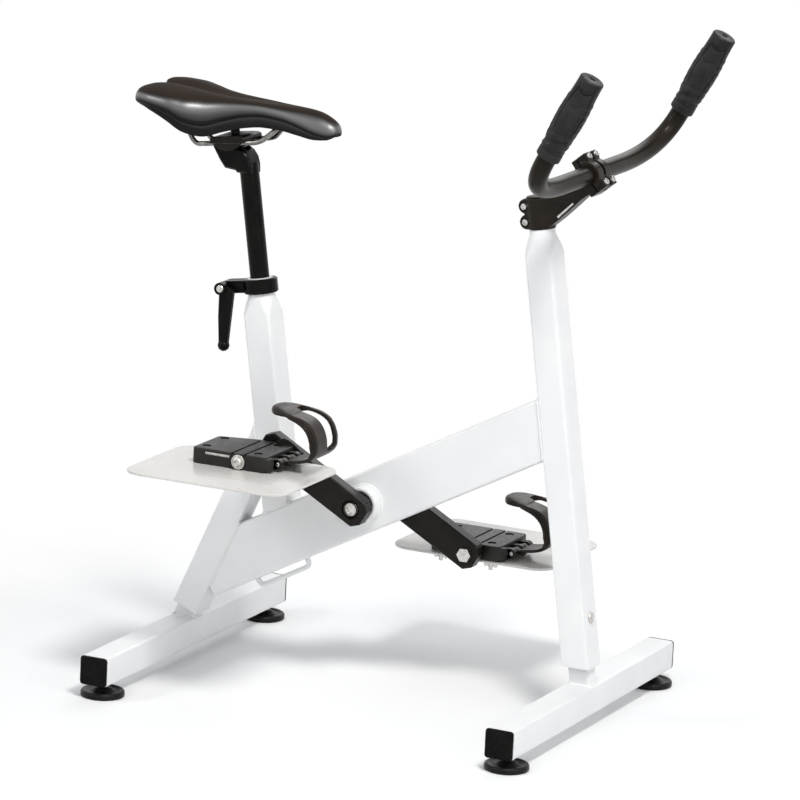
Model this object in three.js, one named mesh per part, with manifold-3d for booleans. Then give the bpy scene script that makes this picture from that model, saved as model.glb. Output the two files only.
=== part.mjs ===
// Aqua bike: a stationary pool cycle, free standing on four levelling feet.
// Millimetres, +X forward, +Y to the rider's left, +Z up.
import * as THREE from 'three';
import { mergeVertices } from 'three/addons/utils/BufferGeometryUtils.js';
import Module from 'manifold-3d';

const wasm = await Module();
wasm.setup();

// Clearances shared by all pieces
const seatGap = 0.3;
const runningGap = 0.15;
const cutOverrun = 2;
const farAway = 2000;

// Floor bars, square tube, and their plastic end caps
const barSpacing = 600;
const barLength = 540;
const barSection = 40;
const barWall = 2.5;
const barCorner = 4;
const capFlange = 4;
const capPlugDepth = 22;
const capPlugWall = 2.5;
const capPlugFit = 0.4;
const capRibDepth = 14;
const capEdge = 1;

// Insert stubs welded on the floor bars, and the bolts that hold the frame tubes on them
const stubAlong = 30;
const stubAcross = 26;
const stubRise = 112;
const stubCorner = 3;
const frameBoltShank = 4;
const frameBoltHead = 8;
const frameBoltDome = 4;
const frameBoltRim = 1;
const frameBoltReach = 24;
const frameBoltHeight = 90;

// Levelling feet with moulded-in studs
const footHeight = 20;
const footRadius = 30;
const footRim = 6;
const footEdge = 1.5;
const footHub = 11;
const footHubHeight = 12;
const footInset = 30;
const studRadius = 5;
const studReach = 24;
const lockNutAcross = 17;
const lockNutHeight = 6;

// Front post and seat tube, same rectangular section, both leaning back
const uprightAlong = 40;
const uprightAcross = 45;
const uprightWall = 2.5;
const uprightCorner = 4;
const leanSlope = 0.156;
const postFootGap = 25;
const postTop = 610;
const neckRadius = 17.5;
const neckTaper = 32;
const neckHeight = 7;
const steererRadius = 14.3;
const steererRise = 44;
const seatTubeAt = 167;
const seatTubeTop = 473;
const seatNeckHeight = 22;
const seatBoreDepth = 90;
const clampSlitWidth = 3;
const clampSlitDepth = 36;

// Rear leg, from the seat tube down to the rear floor bar
const legSlope = 0.426;
const legFootGap = 17;

// Main beam, through the crank centre
const beamDepth = 80;
const beamAcross = 40;
const beamWall = 3;
const beamCorner = 5;
const beamSlope = 0.5435;
const beamSquareCut = 315;

// Carry loop under the beam
const loopLength = 92;
const loopRise = 15;
const loopRod = 4;
const loopBeforeSquareCut = 100;

// Crank housing, bearings and axle
const crankX = 274;
const crankZ = 264;
const housingRadius = 25;
const housingReach = 38;
const housingBore = 16;
const housingEdge = 1.5;
const bearingRadius = 20;
const bearingBore = 10;
const bearingWidth = 11;
const bearingRace = 3;
const bearingRecess = 0.8;
const bearingInset = 1;

// Cranks
const crankLength = 140;
const crankRestAngle = 151.2;
const crankInner = 46;
const crankThickness = 20;
const crankWidth = 41;
const crankTail = 22;
const crankNose = 17;
const crankChamfer = 10;
const crankEdge = 1.5;
const crankRecessRadius = 13;
const crankRecessDepth = 7;
const crankBoltRadius = 5;
const crankBoltHead = 10.5;
const crankBoltHeadHeight = 5;
const crankBoltReach = 22;
const crankBoltSpare = 1;
const crankBoltEdge = 1;
const crankBoltCup = 6.5;
const crankBoltCupFloor = 2;

// Pedal axles and their nuts
const pedalAxleRadius = 6;
const pedalAxleRoot = 7;
const pedalAxleStep = 1;
const pedalHeadAcross = 18;
const pedalHeadHeight = 6;
const pedalNutWasher = 10;
const pedalNutWasherHeight = 2;
const pedalNutHeight = 5;
const pedalNutRadius = 7;
const pedalNutEdge = 1.5;
const pedalNutSocket = 3.5;
const pedalNutSocketDepth = 3;

// Pedal blocks, around the pedal axle
const pedalWidth = 93;
const pedalCrankGap = 3.5;
const pedalRear = 70;
const pedalFront = 40;
const pedalTop = 11;
const pedalBottom = 10.5;
const pedalRearInner = 31;
const pedalTaperAt = -12;
const pedalCorner = 5;
const pedalEdge = 1.2;
const pedalGrooveWidth = 3.5;
const pedalGrooveDepth = 3;
const pedalGrooveRear = -10;
const pedalGrooveFront = 9;
const pedalSlotLength = 38;
const pedalSlotHeight = 4;
const pedalSlotDepth = 3;
const pedalSlotCentre = -33;
const pedalSlotRise = 5;
const pedalLugWidth = 8;
const pedalLugRadius = 7;
const pedalLugAt = 50;
const pedalCentreLug = 12;
const pedalGuardRise = 8;
const pedalGuardRear = 12;
const pedalGuardCrown = 28;
const pedalGrooveEnd = 1;
const clipPinRadius = 3;
const clipPinInset = 1;

// Plate bolts with wing nuts
const plateBoltRear = -57;
const plateBoltFront = 21;
const plateBoltSide = 29;
const plateBoltRearInner = 23;
const plateBoltShank = 3;
const plateBoltHead = 5.6;
const plateBoltHeadHeight = 4;
const plateBoltSink = 6.5;
const wingHub = 5.5;
const wingHubHeight = 7;
const wingSpan = 20;
const wingHeight = 9;
const wingThickness = 3;
const wingHubTaper = 1;
const boltTail = 5;

// Resistance plates under the pedals
const plateRear = 128;
const plateFront = 113;
const plateOuter = 261;
const plateInner = 71;
const plateThickness = 3.5;
const plateCorner = 30;
const plateEdgeShare = 0.2;

// Toe clips
const clipWidth = 64;
const clipTipWidth = 30;
const clipThickness = 4.5;
const clipReach = 107;
const clipHeight = 73;
const clipOutward = 4;
const clipFlangeDepth = 13;
const clipFlangeFromShare = 0.3;
const clipFlangeToShare = 0.92;
const clipFlangeThickness = 4;
const clipWindowBottom = 24;
const clipWindowOuter = 6;
const clipWindowInner = 22;
const clipWindowRear = 65;
const clipWindowTaper = 4;
const clipFlangeLeast = 1;
const clipTongueRadius = 6;
const clipTongueRoom = 8;
const clipNarrowShare = 0.68;
const clipTipShare = 0.9;
const clipTipRoundShare = 0.11;

// Seat post and its head
const seatPostRadius = 13.2;
const seatPostWall = 2.2;
const seatPostBelow = 130;
const seatPostHeadAt = 633;
const headWidth = 32;
const headHeight = 40;
const headEdge = 3;
const headSlotRear = 11;
const headSlotFront = 23;
const headSlotFloor = 14;
const headSlotFit = 1;
const rockerRadius = 30;
const rockerLength = 46;

// Saddle clamp, rails, shell and cushion
const railRadius = 3.5;
const railSpread = 22;
const railSlope = 0.135;
const railStraightRear = 44;
const railStraightFront = 34;
const railRearRun = 22;
const railRearBend = 14;
const railFrontBend = 26;
const railNoseRun = 30;
const railNoseShare = 0.8;
const railNoseSpreadShare = 0.4;
const railRearSpreadShare = 1.25;
const clampCentreX = 46;
const clampCentreZ = 732;
const clampWidth = 56;
const clampThickness = 10;
const clampLength = 52;
const clampEdge = 1;
const clampBoltRadius = 4;
const clampBoltHead = 6.5;
const clampBoltHeadHeight = 6;
const clampBoltReach = 30;
const clampBoltEdge = 1;
const clampBoltSocket = 3;
const saddleRearX = -87;
const saddleLength = 290;
const saddleHalfWidth = 71;
const saddleTopZ = 805;
const saddleNoseDrop = 43;
const saddleNotch = 20;
const saddleChannel = 9;
const saddleChannelHalf = 13;
const saddleSkirtFall = 64;
const saddleThinnest = 4;
const cushionGap = 0.5;
const shellGap = 1.2;
const shellThickness = 4;

// Seat collar and its clamp lever
const collarHeight = 20;
const collarWall = 6;
const leverBack = 50;
const collarEarRadius = 8.5;
const collarEarWidth = 10;
const collarSplit = 3;
const collarEdge = 1.5;
const leverHubRadius = 8.5;
const leverHubWidth = 14;
const leverLength = 87;
const leverRootWidth = 19;
const leverTipWidth = 12.5;
const leverRear = 2.5;
const leverThickness = 9;
const leverBall = 8.3;
const leverBoltRadius = 3;
const leverBoltHead = 5.5;
const leverBoltHeadHeight = 3.5;
const leverBoltEdge = 1;
const leverBoltSink = 3;
const leverNutHeight = 5;
const leverEdge = 1.5;

// Stem
const stemRise = 60;
const stemClampHeight = 42;
const stemEdge = 1;
const stemWebEdge = 2;
const stemBevel = 1.5;
const stemCorner = 3;
const stemReach = 71;
const stemWall = 4.5;
const stemWidth = 30;
const stemClampWidth = 39;
const stemBossBack = 10;
const stemBossWidth = 24;
const stemBossCorner = 4;
const stemBossInset = 3;
const stemWaistRadius = 5;
const stemWaistOut = 2;
const stemSlit = 2.5;
const stemWindowLength = 46;
const stemWindowHeight = 12;
const stemWindowCorner = 5.5;
const stemWindowShare = 0.47;
const stemWebRootShare = 0.42;
const stemWebTipShare = 0.9;
const stemOpeningShare = 1.3;
const stemEar = 23;
const stemEarThickness = 8;
const faceplateGap = 2;

// Handlebar and grips
const handlebarRadius = 12.7;
const handlebarWall = 2;
const handlebarHalf = 221;
const handlebarRun = 125;
const handlebarCurve = 62;
const handlebarUpright = 187;
const handlebarSlope = 0.525;
const gripLength = 121;
const gripEndRadius = 16.6;
const gripPalmRadius = 18.6;
const gripCap = 5;
const gripCollar = 12;
const gripCollarRadius = 16.5;
const gripCollarEdge = 1;
const gripNeck = 15.8;
const gripEdge = 1.5;

// Places worked out from the sizes above
const barTop = footHeight + barSection;
const lateral = new THREE.Vector3(0, 1, 0);
const forward = new THREE.Vector3(1, 0, 0);
const upward = new THREE.Vector3(0, 0, 1);
const uprightAxis = new THREE.Vector3(-leanSlope, 0, 1).normalize();
const legAxis = new THREE.Vector3(legSlope, 0, 1).normalize();
const beamAxis = new THREE.Vector3(1, 0, beamSlope).normalize();
const postRoot = new THREE.Vector3(barSpacing, 0, barTop);
const seatRoot = new THREE.Vector3(seatTubeAt, 0, barTop);
const legRoot = new THREE.Vector3(0, 0, barTop);
const crankCentre = new THREE.Vector3(crankX, 0, crankZ);
const uprightFront = new THREE.Vector3().crossVectors(lateral, uprightAxis);
const legFront = new THREE.Vector3().crossVectors(lateral, legAxis);
const beamUp = new THREE.Vector3().crossVectors(beamAxis, lateral);

// Colours of the finishes
const whitePaint = { color: 0xeef0f1, roughness: 0.45, metalness: 0.0 };
const blackPlastic = { color: 0x1c1c1e, roughness: 0.55, metalness: 0.0 };
const blackMetal = { color: 0x17171a, roughness: 0.35, metalness: 0.6 };
const stainless = { color: 0xc9c8c4, roughness: 0.28, metalness: 1.0 };
const clearPlate = { color: 0xe6e3e0, roughness: 0.3, metalness: 0.0 };
const blackRubber = { color: 0x202022, roughness: 0.8, metalness: 0.0 };
const blackLeather = { color: 0x18181a, roughness: 0.42, metalness: 0.0 };

// Turn a geometry into a closed mesh with merged corners, no empty triangles and its faces out
function closed(geometry) {
  const bare = geometry.clone();
  bare.deleteAttribute('normal');
  bare.deleteAttribute('uv');
  const merged = mergeVertices(bare);
  const index = merged.index.array;
  const position = merged.attributes.position;
  const kept = [];
  const a = new THREE.Vector3();
  const b = new THREE.Vector3();
  const c = new THREE.Vector3();
  let volume = 0;
  for (let i = 0; i < index.length; i += 3) {
    const [p, q, r] = [index[i], index[i + 1], index[i + 2]];
    if (p === q || q === r || r === p) continue;
    kept.push(p, q, r);
    a.fromBufferAttribute(position, p);
    b.fromBufferAttribute(position, q);
    c.fromBufferAttribute(position, r);
    volume += a.dot(b.cross(c));
  }
  if (volume < 0) kept.reverse();
  merged.setIndex(kept);
  return merged;
}

// Geometry to a solid that can be joined and cut
function solid(geometry) {
  const mesh = closed(geometry);
  return new wasm.Manifold(new wasm.Mesh({
    numProp: 3,
    vertProperties: new Float32Array(mesh.attributes.position.array),
    triVerts: new Uint32Array(mesh.index.array),
  }));
}

// Solid back to a geometry
function shape3d(body) {
  const mesh = body.getMesh();
  const geometry = new THREE.BufferGeometry();
  geometry.setAttribute('position', new THREE.BufferAttribute(new Float32Array(mesh.vertProperties), 3));
  geometry.setIndex(Array.from(mesh.triVerts));
  geometry.computeVertexNormals();
  return geometry;
}

function piece(name, body, finish) {
  const geometry = body.isBufferGeometry ? closed(body) : shape3d(body);
  const mesh = new THREE.Mesh(geometry, new THREE.MeshStandardMaterial(finish));
  mesh.name = name;
  return mesh;
}

// A frame of axes: local Z runs along a direction, local X as near as can be to a side direction
function axes(origin, along, side) {
  const z = along.clone().normalize();
  const y = new THREE.Vector3().crossVectors(z, side).normalize();
  const x = new THREE.Vector3().crossVectors(y, z);
  return new THREE.Matrix4().makeBasis(x, y, z).setPosition(origin);
}

function along(origin, direction, distance) {
  return origin.clone().addScaledVector(direction, distance);
}

// A closed outline of a rectangle with rounded corners, centred
function roundedRectangle(width, height, radius) {
  const x = width / 2;
  const y = height / 2;
  const shape = new THREE.Shape();
  shape.moveTo(x, y - radius);
  shape.absarc(x - radius, y - radius, radius, 0, Math.PI / 2);
  shape.absarc(-x + radius, y - radius, radius, Math.PI / 2, Math.PI);
  shape.absarc(-x + radius, -y + radius, radius, Math.PI, Math.PI * 1.5);
  shape.absarc(x - radius, -y + radius, radius, Math.PI * 1.5, Math.PI * 2);
  return shape;
}

function prism(shape, length, detail = 1) {
  return new THREE.ExtrudeGeometry(shape, { depth: length, bevelEnabled: false, curveSegments: detail });
}

// A closed outline through corner points, each corner rounded by the same radius
function roundedOutline(corners, radius) {
  const points = corners.map(([x, y]) => new THREE.Vector2(x, y));
  const shape = new THREE.Shape();
  points.forEach((corner, i) => {
    const before = points[(i + points.length - 1) % points.length];
    const after = points[(i + 1) % points.length];
    const enter = before.clone().sub(corner).setLength(radius).add(corner);
    const leave = after.clone().sub(corner).setLength(radius).add(corner);
    if (i === 0) shape.moveTo(enter.x, enter.y);
    else shape.lineTo(enter.x, enter.y);
    shape.quadraticCurveTo(corner.x, corner.y, leave.x, leave.y);
  });
  return shape;
}

// A prism with small bevels, whose overall length stays as given
function beveledPrism(shape, length, edge, detail = 1) {
  const geometry = new THREE.ExtrudeGeometry(shape, {
    depth: length - 2 * edge,
    bevelThickness: edge,
    bevelSize: edge,
    bevelOffset: -edge,
    bevelSegments: 1,
    curveSegments: detail,
  });
  return geometry.translate(0, 0, edge);
}

// A turned piece about local Z from a closed profile of [radius, height] points
function turned(profile, sides = 24) {
  const points = profile.map(([radius, height]) => new THREE.Vector2(radius, height));
  return new THREE.LatheGeometry(points, sides).rotateX(Math.PI / 2);
}

function rod(radius, from, to, sides = 24) {
  return turned([[0, from], [radius, from], [radius, to], [0, to]], sides);
}

// A rod along Y, given by its axis place and its two ends
function crossRod(radius, x, z, fromY, toY, sides = 24) {
  const low = Math.min(fromY, toY);
  const high = Math.max(fromY, toY);
  return rod(radius, low, high, sides).rotateX(-Math.PI / 2).translate(x, 0, z);
}

function hexagon(acrossFlats, from, to) {
  return rod(acrossFlats / Math.sqrt(3), from, to, 6);
}

function box(x0, x1, y0, y1, z0, z1) {
  const geometry = new THREE.BoxGeometry(x1 - x0, y1 - y0, z1 - z0);
  return geometry.translate((x0 + x1) / 2, (y0 + y1) / 2, (z0 + z1) / 2);
}

// Everything on the far side of a plane, as a large block to take away
function beyond(point, normal) {
  const side = Math.abs(normal.dot(lateral)) > 0.9 ? forward : lateral;
  return solid(box(-farAway, farAway, -farAway, farAway, 0, farAway).applyMatrix4(axes(point, normal, side)));
}

// The same geometry seen in a mirror across the plane Y = 0
function mirrored(geometry) {
  const copy = geometry.index ? geometry.toNonIndexed() : geometry.clone();
  return copy.scale(1, -1, 1);
}

// A side outline in X and Z, extruded sideways between two Y places
function sidePrism(points, fromY, toY, edge = 0) {
  const corners = Array.isArray(points) ? points.map(([x, z]) => new THREE.Vector2(x, z)) : null;
  const shape = corners ? new THREE.Shape(corners) : points;
  const length = toY - fromY;
  const geometry = edge ? beveledPrism(shape, length, edge, 3) : prism(shape, length, 4);
  return geometry.rotateX(Math.PI / 2).translate(0, toY, 0);
}

// Floor bar with its welded insert stub, holes for the feet and a hole for the frame bolt
function makeFloorBar(name, root, tubeAxis, boltSide) {
  const half = barLength / 2 - capFlange;
  const start = new THREE.Vector3(root.x, -half, barTop - barSection / 2);
  const outer = prism(roundedRectangle(barSection, barSection, barCorner), 2 * half)
    .applyMatrix4(axes(start, lateral, forward));
  const innerSize = barSection - 2 * barWall;
  const innerStart = along(start, lateral, -cutOverrun);
  const inner = prism(roundedRectangle(innerSize, innerSize, barCorner - barWall), 2 * (half + cutOverrun))
    .applyMatrix4(axes(innerStart, lateral, forward));
  const stubFrom = along(root, tubeAxis, -barWall / 2);
  const stub = prism(roundedRectangle(stubAcross, stubAlong, stubCorner), stubRise + barWall / 2)
    .applyMatrix4(axes(stubFrom, tubeAxis, lateral));
  const drilled = solid(stub).subtract(frameBoltHole(root, tubeAxis, boltSide, -stubAlong));
  let body = solid(outer).subtract(solid(inner)).add(drilled);
  for (const side of [-1, 1]) {
    const y = side * (barLength / 2 - footInset);
    const hole = rod(studRadius + seatGap, footHeight - cutOverrun, footHeight + barWall + cutOverrun, 16);
    body = body.subtract(solid(hole.translate(root.x, y, 0)));
  }
  return piece(name, body, whitePaint);
}

// Clearance hole for a frame bolt, from inside the tube out through the side that the bolt enters
function frameBoltHole(root, tubeAxis, side, from = 0) {
  const hole = rod(frameBoltShank + seatGap, from, uprightAlong, 16);
  return solid(hole.applyMatrix4(axes(along(root, tubeAxis, frameBoltHeight), side, lateral)));
}

function makeEndCap(name, root, side) {
  const flange = beveledPrism(roundedRectangle(barSection, barSection, barCorner), capFlange, capEdge);
  const plugSize = barSection - 2 * barWall - 2 * capPlugFit;
  const plug = prism(roundedRectangle(plugSize, plugSize, capEdge), capPlugDepth)
    .translate(0, 0, -capPlugDepth + capFlange / 2);
  const hollow = plugSize - 2 * capPlugWall;
  const pocket = prism(roundedRectangle(hollow, hollow, capEdge), capPlugDepth)
    .translate(0, 0, -capPlugDepth - cutOverrun);
  let body = solid(flange).add(solid(plug).subtract(solid(pocket)));
  const rib = box(-plugSize / 2, plugSize / 2, -capPlugWall / 2, capPlugWall / 2, -capRibDepth, 0);
  body = body.add(solid(rib)).add(solid(rib.clone().rotateZ(Math.PI / 2)));
  const outward = lateral.clone().multiplyScalar(side);
  const faceY = side * (barLength / 2 - capFlange + seatGap / 3);
  const face = new THREE.Vector3(root.x, faceY, barTop - barSection / 2);
  const mesh = piece(name, body, blackPlastic);
  mesh.applyMatrix4(axes(face, outward, forward));
  return mesh;
}

function makeFoot(name, root, side) {
  const rimTop = footRim + 2 * footEdge;
  const pad = solid(turned([
    [0, 0], [footRadius - footEdge, 0], [footRadius, footEdge], [footRadius, footRim],
    [footRadius - 2 * footEdge, rimTop], [footHub + 4 * footEdge, rimTop], [footHub, footHubHeight],
    [0, footHubHeight],
  ], 16));
  const stud = solid(rod(studRadius, footHubHeight - footEdge, footHeight + studReach, 12));
  const nutTop = footHeight - seatGap;
  const nut = solid(hexagon(lockNutAcross, nutTop - lockNutHeight, nutTop));
  const mesh = piece(name, pad.add(stud).add(nut), blackRubber);
  mesh.position.set(root.x, side * (barLength / 2 - footInset), 0);
  return mesh;
}

// A turned envelope that narrows a square tube to a round neck, as a lathe would
function neckEnvelope(top, height) {
  const big = uprightAcross;
  const shoulder = top - neckTaper;
  const corner = Math.hypot(uprightAcross, uprightAlong) / 2;
  return solid(turned([
    [0, -farAway], [big, -farAway], [big, shoulder], [corner, shoulder], [neckRadius, top],
    [neckRadius, top + height], [0, top + height],
  ], 24));
}

function uprightTube(length) {
  return solid(prism(roundedRectangle(uprightAcross, uprightAlong, uprightCorner), length));
}

function uprightHollow(from, to) {
  const across = uprightAcross - 2 * uprightWall;
  const deep = uprightAlong - 2 * uprightWall;
  const section = roundedRectangle(across, deep, uprightCorner - uprightWall);
  return solid(prism(section, to - from).translate(0, 0, from));
}

function makeFrontPost() {
  const top = postTop;
  let body = uprightTube(top + neckHeight).intersect(neckEnvelope(top, neckHeight));
  body = body.add(solid(rod(steererRadius, top, top + neckHeight + steererRise)));
  body = body.subtract(uprightHollow(-cutOverrun, top - neckTaper));
  const place = axes(postRoot, uprightAxis, lateral);
  const placed = solid(shape3d(body).applyMatrix4(place));
  const foot = beyond(new THREE.Vector3(0, 0, barTop + postFootGap), upward.clone().negate());
  const hole = frameBoltHole(postRoot, uprightAxis, uprightFront);
  return piece('front_post', placed.subtract(foot).subtract(hole), whitePaint);
}

function makeSeatTube() {
  const top = seatTubeTop;
  let body = uprightTube(top + seatNeckHeight).intersect(neckEnvelope(top, seatNeckHeight));
  const boreTop = top + seatNeckHeight + cutOverrun;
  const bore = rod(seatPostRadius + seatGap, top - seatBoreDepth - cutOverrun, boreTop);
  body = body.subtract(solid(bore));
  body = body.subtract(uprightHollow(-cutOverrun, top - seatBoreDepth));
  const slitHalf = clampSlitWidth / 2;
  const slit = box(-slitHalf, slitHalf, 0, uprightAlong, boreTop - clampSlitDepth, boreTop);
  body = body.subtract(solid(slit));
  const placed = solid(shape3d(body).applyMatrix4(axes(seatRoot, uprightAxis, lateral)));
  const seat = beyond(along(crankCentre, beamUp, beamDepth / 2 + seatGap), beamUp.clone().negate());
  return piece('seat_tube', placed.subtract(seat), whitePaint);
}

function makeRearLeg() {
  const length = 2 * seatTubeTop;
  const across = uprightAcross - 2 * uprightWall;
  const deep = uprightAlong - 2 * uprightWall;
  const outer = prism(roundedRectangle(uprightAcross, uprightAlong, uprightCorner), length)
    .translate(0, 0, legFootGap);
  const inner = prism(roundedRectangle(across, deep, uprightCorner - uprightWall), length + 2 * cutOverrun, 1)
    .translate(0, 0, legFootGap - cutOverrun);
  let body = solid(outer).subtract(solid(inner));
  body = solid(shape3d(body).applyMatrix4(axes(legRoot, legAxis, lateral)));
  const rearFace = along(seatRoot, uprightFront, -uprightAlong / 2 - seatGap);
  body = body.subtract(beyond(rearFace, uprightFront));
  const hole = frameBoltHole(legRoot, legAxis, legFront.clone().negate());
  return piece('rear_leg', body.subtract(hole), whitePaint);
}

function makeMainBeam() {
  const start = along(crankCentre, beamAxis, -farAway / 2);
  const outer = prism(roundedRectangle(beamAcross, beamDepth, beamCorner), farAway)
    .applyMatrix4(axes(start, beamAxis, lateral));
  const hollow = roundedRectangle(beamAcross - 2 * beamWall, beamDepth - 2 * beamWall, beamCorner - beamWall);
  const inner = prism(hollow, farAway + 2 * cutOverrun)
    .applyMatrix4(axes(along(start, beamAxis, -cutOverrun), beamAxis, lateral));
  const atPost = along(postRoot, uprightFront, -uprightAlong / 2 - seatGap);
  const atLeg = along(legRoot, legFront, uprightAlong / 2 + seatGap);
  const squareCut = along(crankCentre, beamAxis, -beamSquareCut + beamDepth / 2);
  let body = solid(outer).subtract(solid(inner));
  body = body.subtract(beyond(atPost, uprightFront));
  body = body.subtract(beyond(atLeg, legFront.clone().negate()));
  body = body.subtract(beyond(squareCut, beamAxis.clone().negate()));
  const hole = crossRod(housingRadius + seatGap, crankX, crankZ, -beamAcross, beamAcross, 32);
  return piece('main_beam', body.subtract(solid(hole)), whitePaint);
}

function makeFrameBolt(name, root, tubeAxis, side) {
  const face = uprightAlong / 2 + seatGap / 3;
  const dome = [];
  const steps = 3;
  for (let i = 0; i <= steps; i += 1) {
    const angle = (i / steps) * Math.PI / 2;
    const rise = frameBoltRim + (frameBoltDome - frameBoltRim) * Math.sin(angle);
    dome.push([frameBoltHead * Math.cos(angle), face + rise]);
  }
  const end = face - frameBoltReach;
  const shank = [[0, end], [frameBoltShank, end], [frameBoltShank, face], [frameBoltHead, face]];
  const body = turned([...shank, ...dome], 16);
  const mesh = piece(name, body, stainless);
  mesh.applyMatrix4(axes(along(root, tubeAxis, frameBoltHeight), side, lateral));
  return mesh;
}

// Rod bent to a low handle: two short legs and a long grip, ends flat on the beam's underside
function makeCarryLoop() {
  const half = loopLength / 2 - loopRod;
  const bend = 2 * loopRod;
  const path = new THREE.CurvePath();
  const deep = -(loopRise - loopRod);
  const p = (x, y) => new THREE.Vector3(x, y, 0);
  path.add(new THREE.LineCurve3(p(-half, 0), p(-half, deep + bend)));
  path.add(new THREE.QuadraticBezierCurve3(p(-half, deep + bend), p(-half, deep), p(-half + bend, deep)));
  path.add(new THREE.LineCurve3(p(-half + bend, deep), p(half - bend, deep)));
  path.add(new THREE.QuadraticBezierCurve3(p(half - bend, deep), p(half, deep), p(half, deep + bend)));
  path.add(new THREE.LineCurve3(p(half, deep + bend), p(half, 0)));
  const section = new THREE.Shape().absarc(0, 0, loopRod, 0, Math.PI * 2);
  const geometry = new THREE.ExtrudeGeometry(section, { extrudePath: path, steps: 22, curveSegments: 3 });
  const middle = along(crankCentre, beamAxis, loopBeforeSquareCut - beamSquareCut + loopLength / 2);
  const centre = along(middle, beamUp, -beamDepth / 2 - seatGap);
  const mesh = piece('carry_loop', geometry, whitePaint);
  const right = lateral.clone().negate();
  mesh.applyMatrix4(new THREE.Matrix4().makeBasis(beamAxis, beamUp, right).setPosition(centre));
  return mesh;
}

function makeHousing() {
  const seat = housingReach - bearingWidth - bearingInset;
  const bearingSeat = bearingRadius + seatGap;
  const rim = housingRadius - housingEdge;
  const shoulder = housingReach - housingEdge;
  const body = turned([
    [housingBore, -seat], [bearingSeat, -seat], [bearingSeat, -housingReach], [rim, -housingReach],
    [housingRadius, -shoulder], [housingRadius, shoulder], [rim, housingReach],
    [bearingSeat, housingReach], [bearingSeat, seat], [housingBore, seat], [housingBore, -seat],
  ], 28);
  const mesh = piece('crank_housing', body, whitePaint);
  mesh.rotation.x = Math.PI / 2;
  mesh.position.copy(crankCentre);
  return mesh;
}

function makeBearing(name, side) {
  const bore = bearingBore + runningGap;
  const width = bearingWidth / 2;
  const inner = bore + bearingRace;
  const outer = bearingRadius - bearingRace;
  const body = turned([
    [bore, -width], [inner, -width], [inner, bearingRecess - width], [outer, bearingRecess - width],
    [outer, -width], [bearingRadius, -width], [bearingRadius, width], [bore, width], [bore, -width],
  ], 24);
  const mesh = piece(name, body, stainless);
  mesh.rotation.x = Math.PI / 2;
  mesh.position.copy(crankCentre);
  mesh.position.y = side * (housingReach - bearingWidth - bearingInset + seatGap + width);
  return mesh;
}

// The turning crank assembly is built in its own group, with the right crank along -X
function crankOutline() {
  const half = crankWidth / 2;
  const nose = crankLength + crankNose;
  const points = [
    [crankTail, half - crankChamfer], [crankTail - crankChamfer, half], [-nose + crankChamfer, half],
    [-nose, half - crankChamfer], [-nose, -half + crankChamfer], [-nose + crankChamfer, -half],
    [crankTail - crankChamfer, -half], [crankTail, -half + crankChamfer],
  ];
  return points;
}

function makeCrank(name, side) {
  const outline = sidePrism(crankOutline(), crankInner, crankInner + crankThickness, crankEdge);
  const outer = crankInner + crankThickness;
  let body = solid(outline);
  const recess = outer - crankRecessDepth;
  body = body.subtract(solid(crossRod(bearingBore + runningGap, 0, 0, crankInner - cutOverrun, outer, 24)));
  body = body.subtract(solid(crossRod(crankRecessRadius, 0, 0, recess, outer + cutOverrun, 24)));
  body = body.subtract(solid(crossRod(pedalAxleRoot + seatGap, -crankLength, 0, crankInner - cutOverrun,
    outer + cutOverrun, 24)));
  let geometry = shape3d(body);
  if (side < 0) geometry = mirrored(geometry);
  else geometry = geometry.clone().rotateY(Math.PI);
  return piece(name, geometry, blackMetal);
}

function makeCrankAxle() {
  const end = crankInner + crankThickness - crankRecessDepth;
  const bore = crankBoltRadius + seatGap;
  let body = solid(crossRod(bearingBore, 0, 0, -end, end, 24));
  for (const side of [-1, 1]) {
    const deep = side * (end - crankBoltReach - crankBoltSpare);
    body = body.subtract(solid(crossRod(bore, 0, 0, deep, side * (end + cutOverrun), 16)));
  }
  return piece('crank_axle', body, stainless);
}

function makeCrankBolt(name, side) {
  const face = crankInner + crankThickness - crankRecessDepth + seatGap;
  const end = face - crankBoltReach;
  const top = face + crankBoltHeadHeight;
  const cupFloor = face + crankBoltCupFloor;
  const profile = [
    [0, end], [crankBoltRadius, end], [crankBoltRadius, face], [crankBoltHead, face],
    [crankBoltHead, top - crankBoltEdge], [crankBoltHead - crankBoltEdge, top],
    [crankBoltCup, top], [crankBoltCup, cupFloor], [0, cupFloor],
  ];
  const geometry = turned(profile, 16).rotateX(side * -Math.PI / 2);
  return piece(name, geometry, stainless);
}

function makePedalAxle(name, side) {
  const inner = crankInner - seatGap;
  const outer = crankInner + crankThickness + pedalCrankGap;
  const end = outer + pedalWidth + seatGap + pedalNutWasherHeight;
  const head = solid(hexagon(pedalHeadAcross, inner - pedalHeadHeight, inner));
  const shank = solid(turned([
    [0, inner - pedalAxleStep], [pedalAxleRoot, inner - pedalAxleStep],
    [pedalAxleRoot, outer - pedalAxleStep], [pedalAxleRadius, outer - pedalAxleStep],
    [pedalAxleRadius, end], [0, end],
  ], 24));
  const geometry = shape3d(head.add(shank)).rotateX(side * -Math.PI / 2);
  return piece(name, geometry.translate(side * crankLength, 0, 0), stainless);
}

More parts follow.
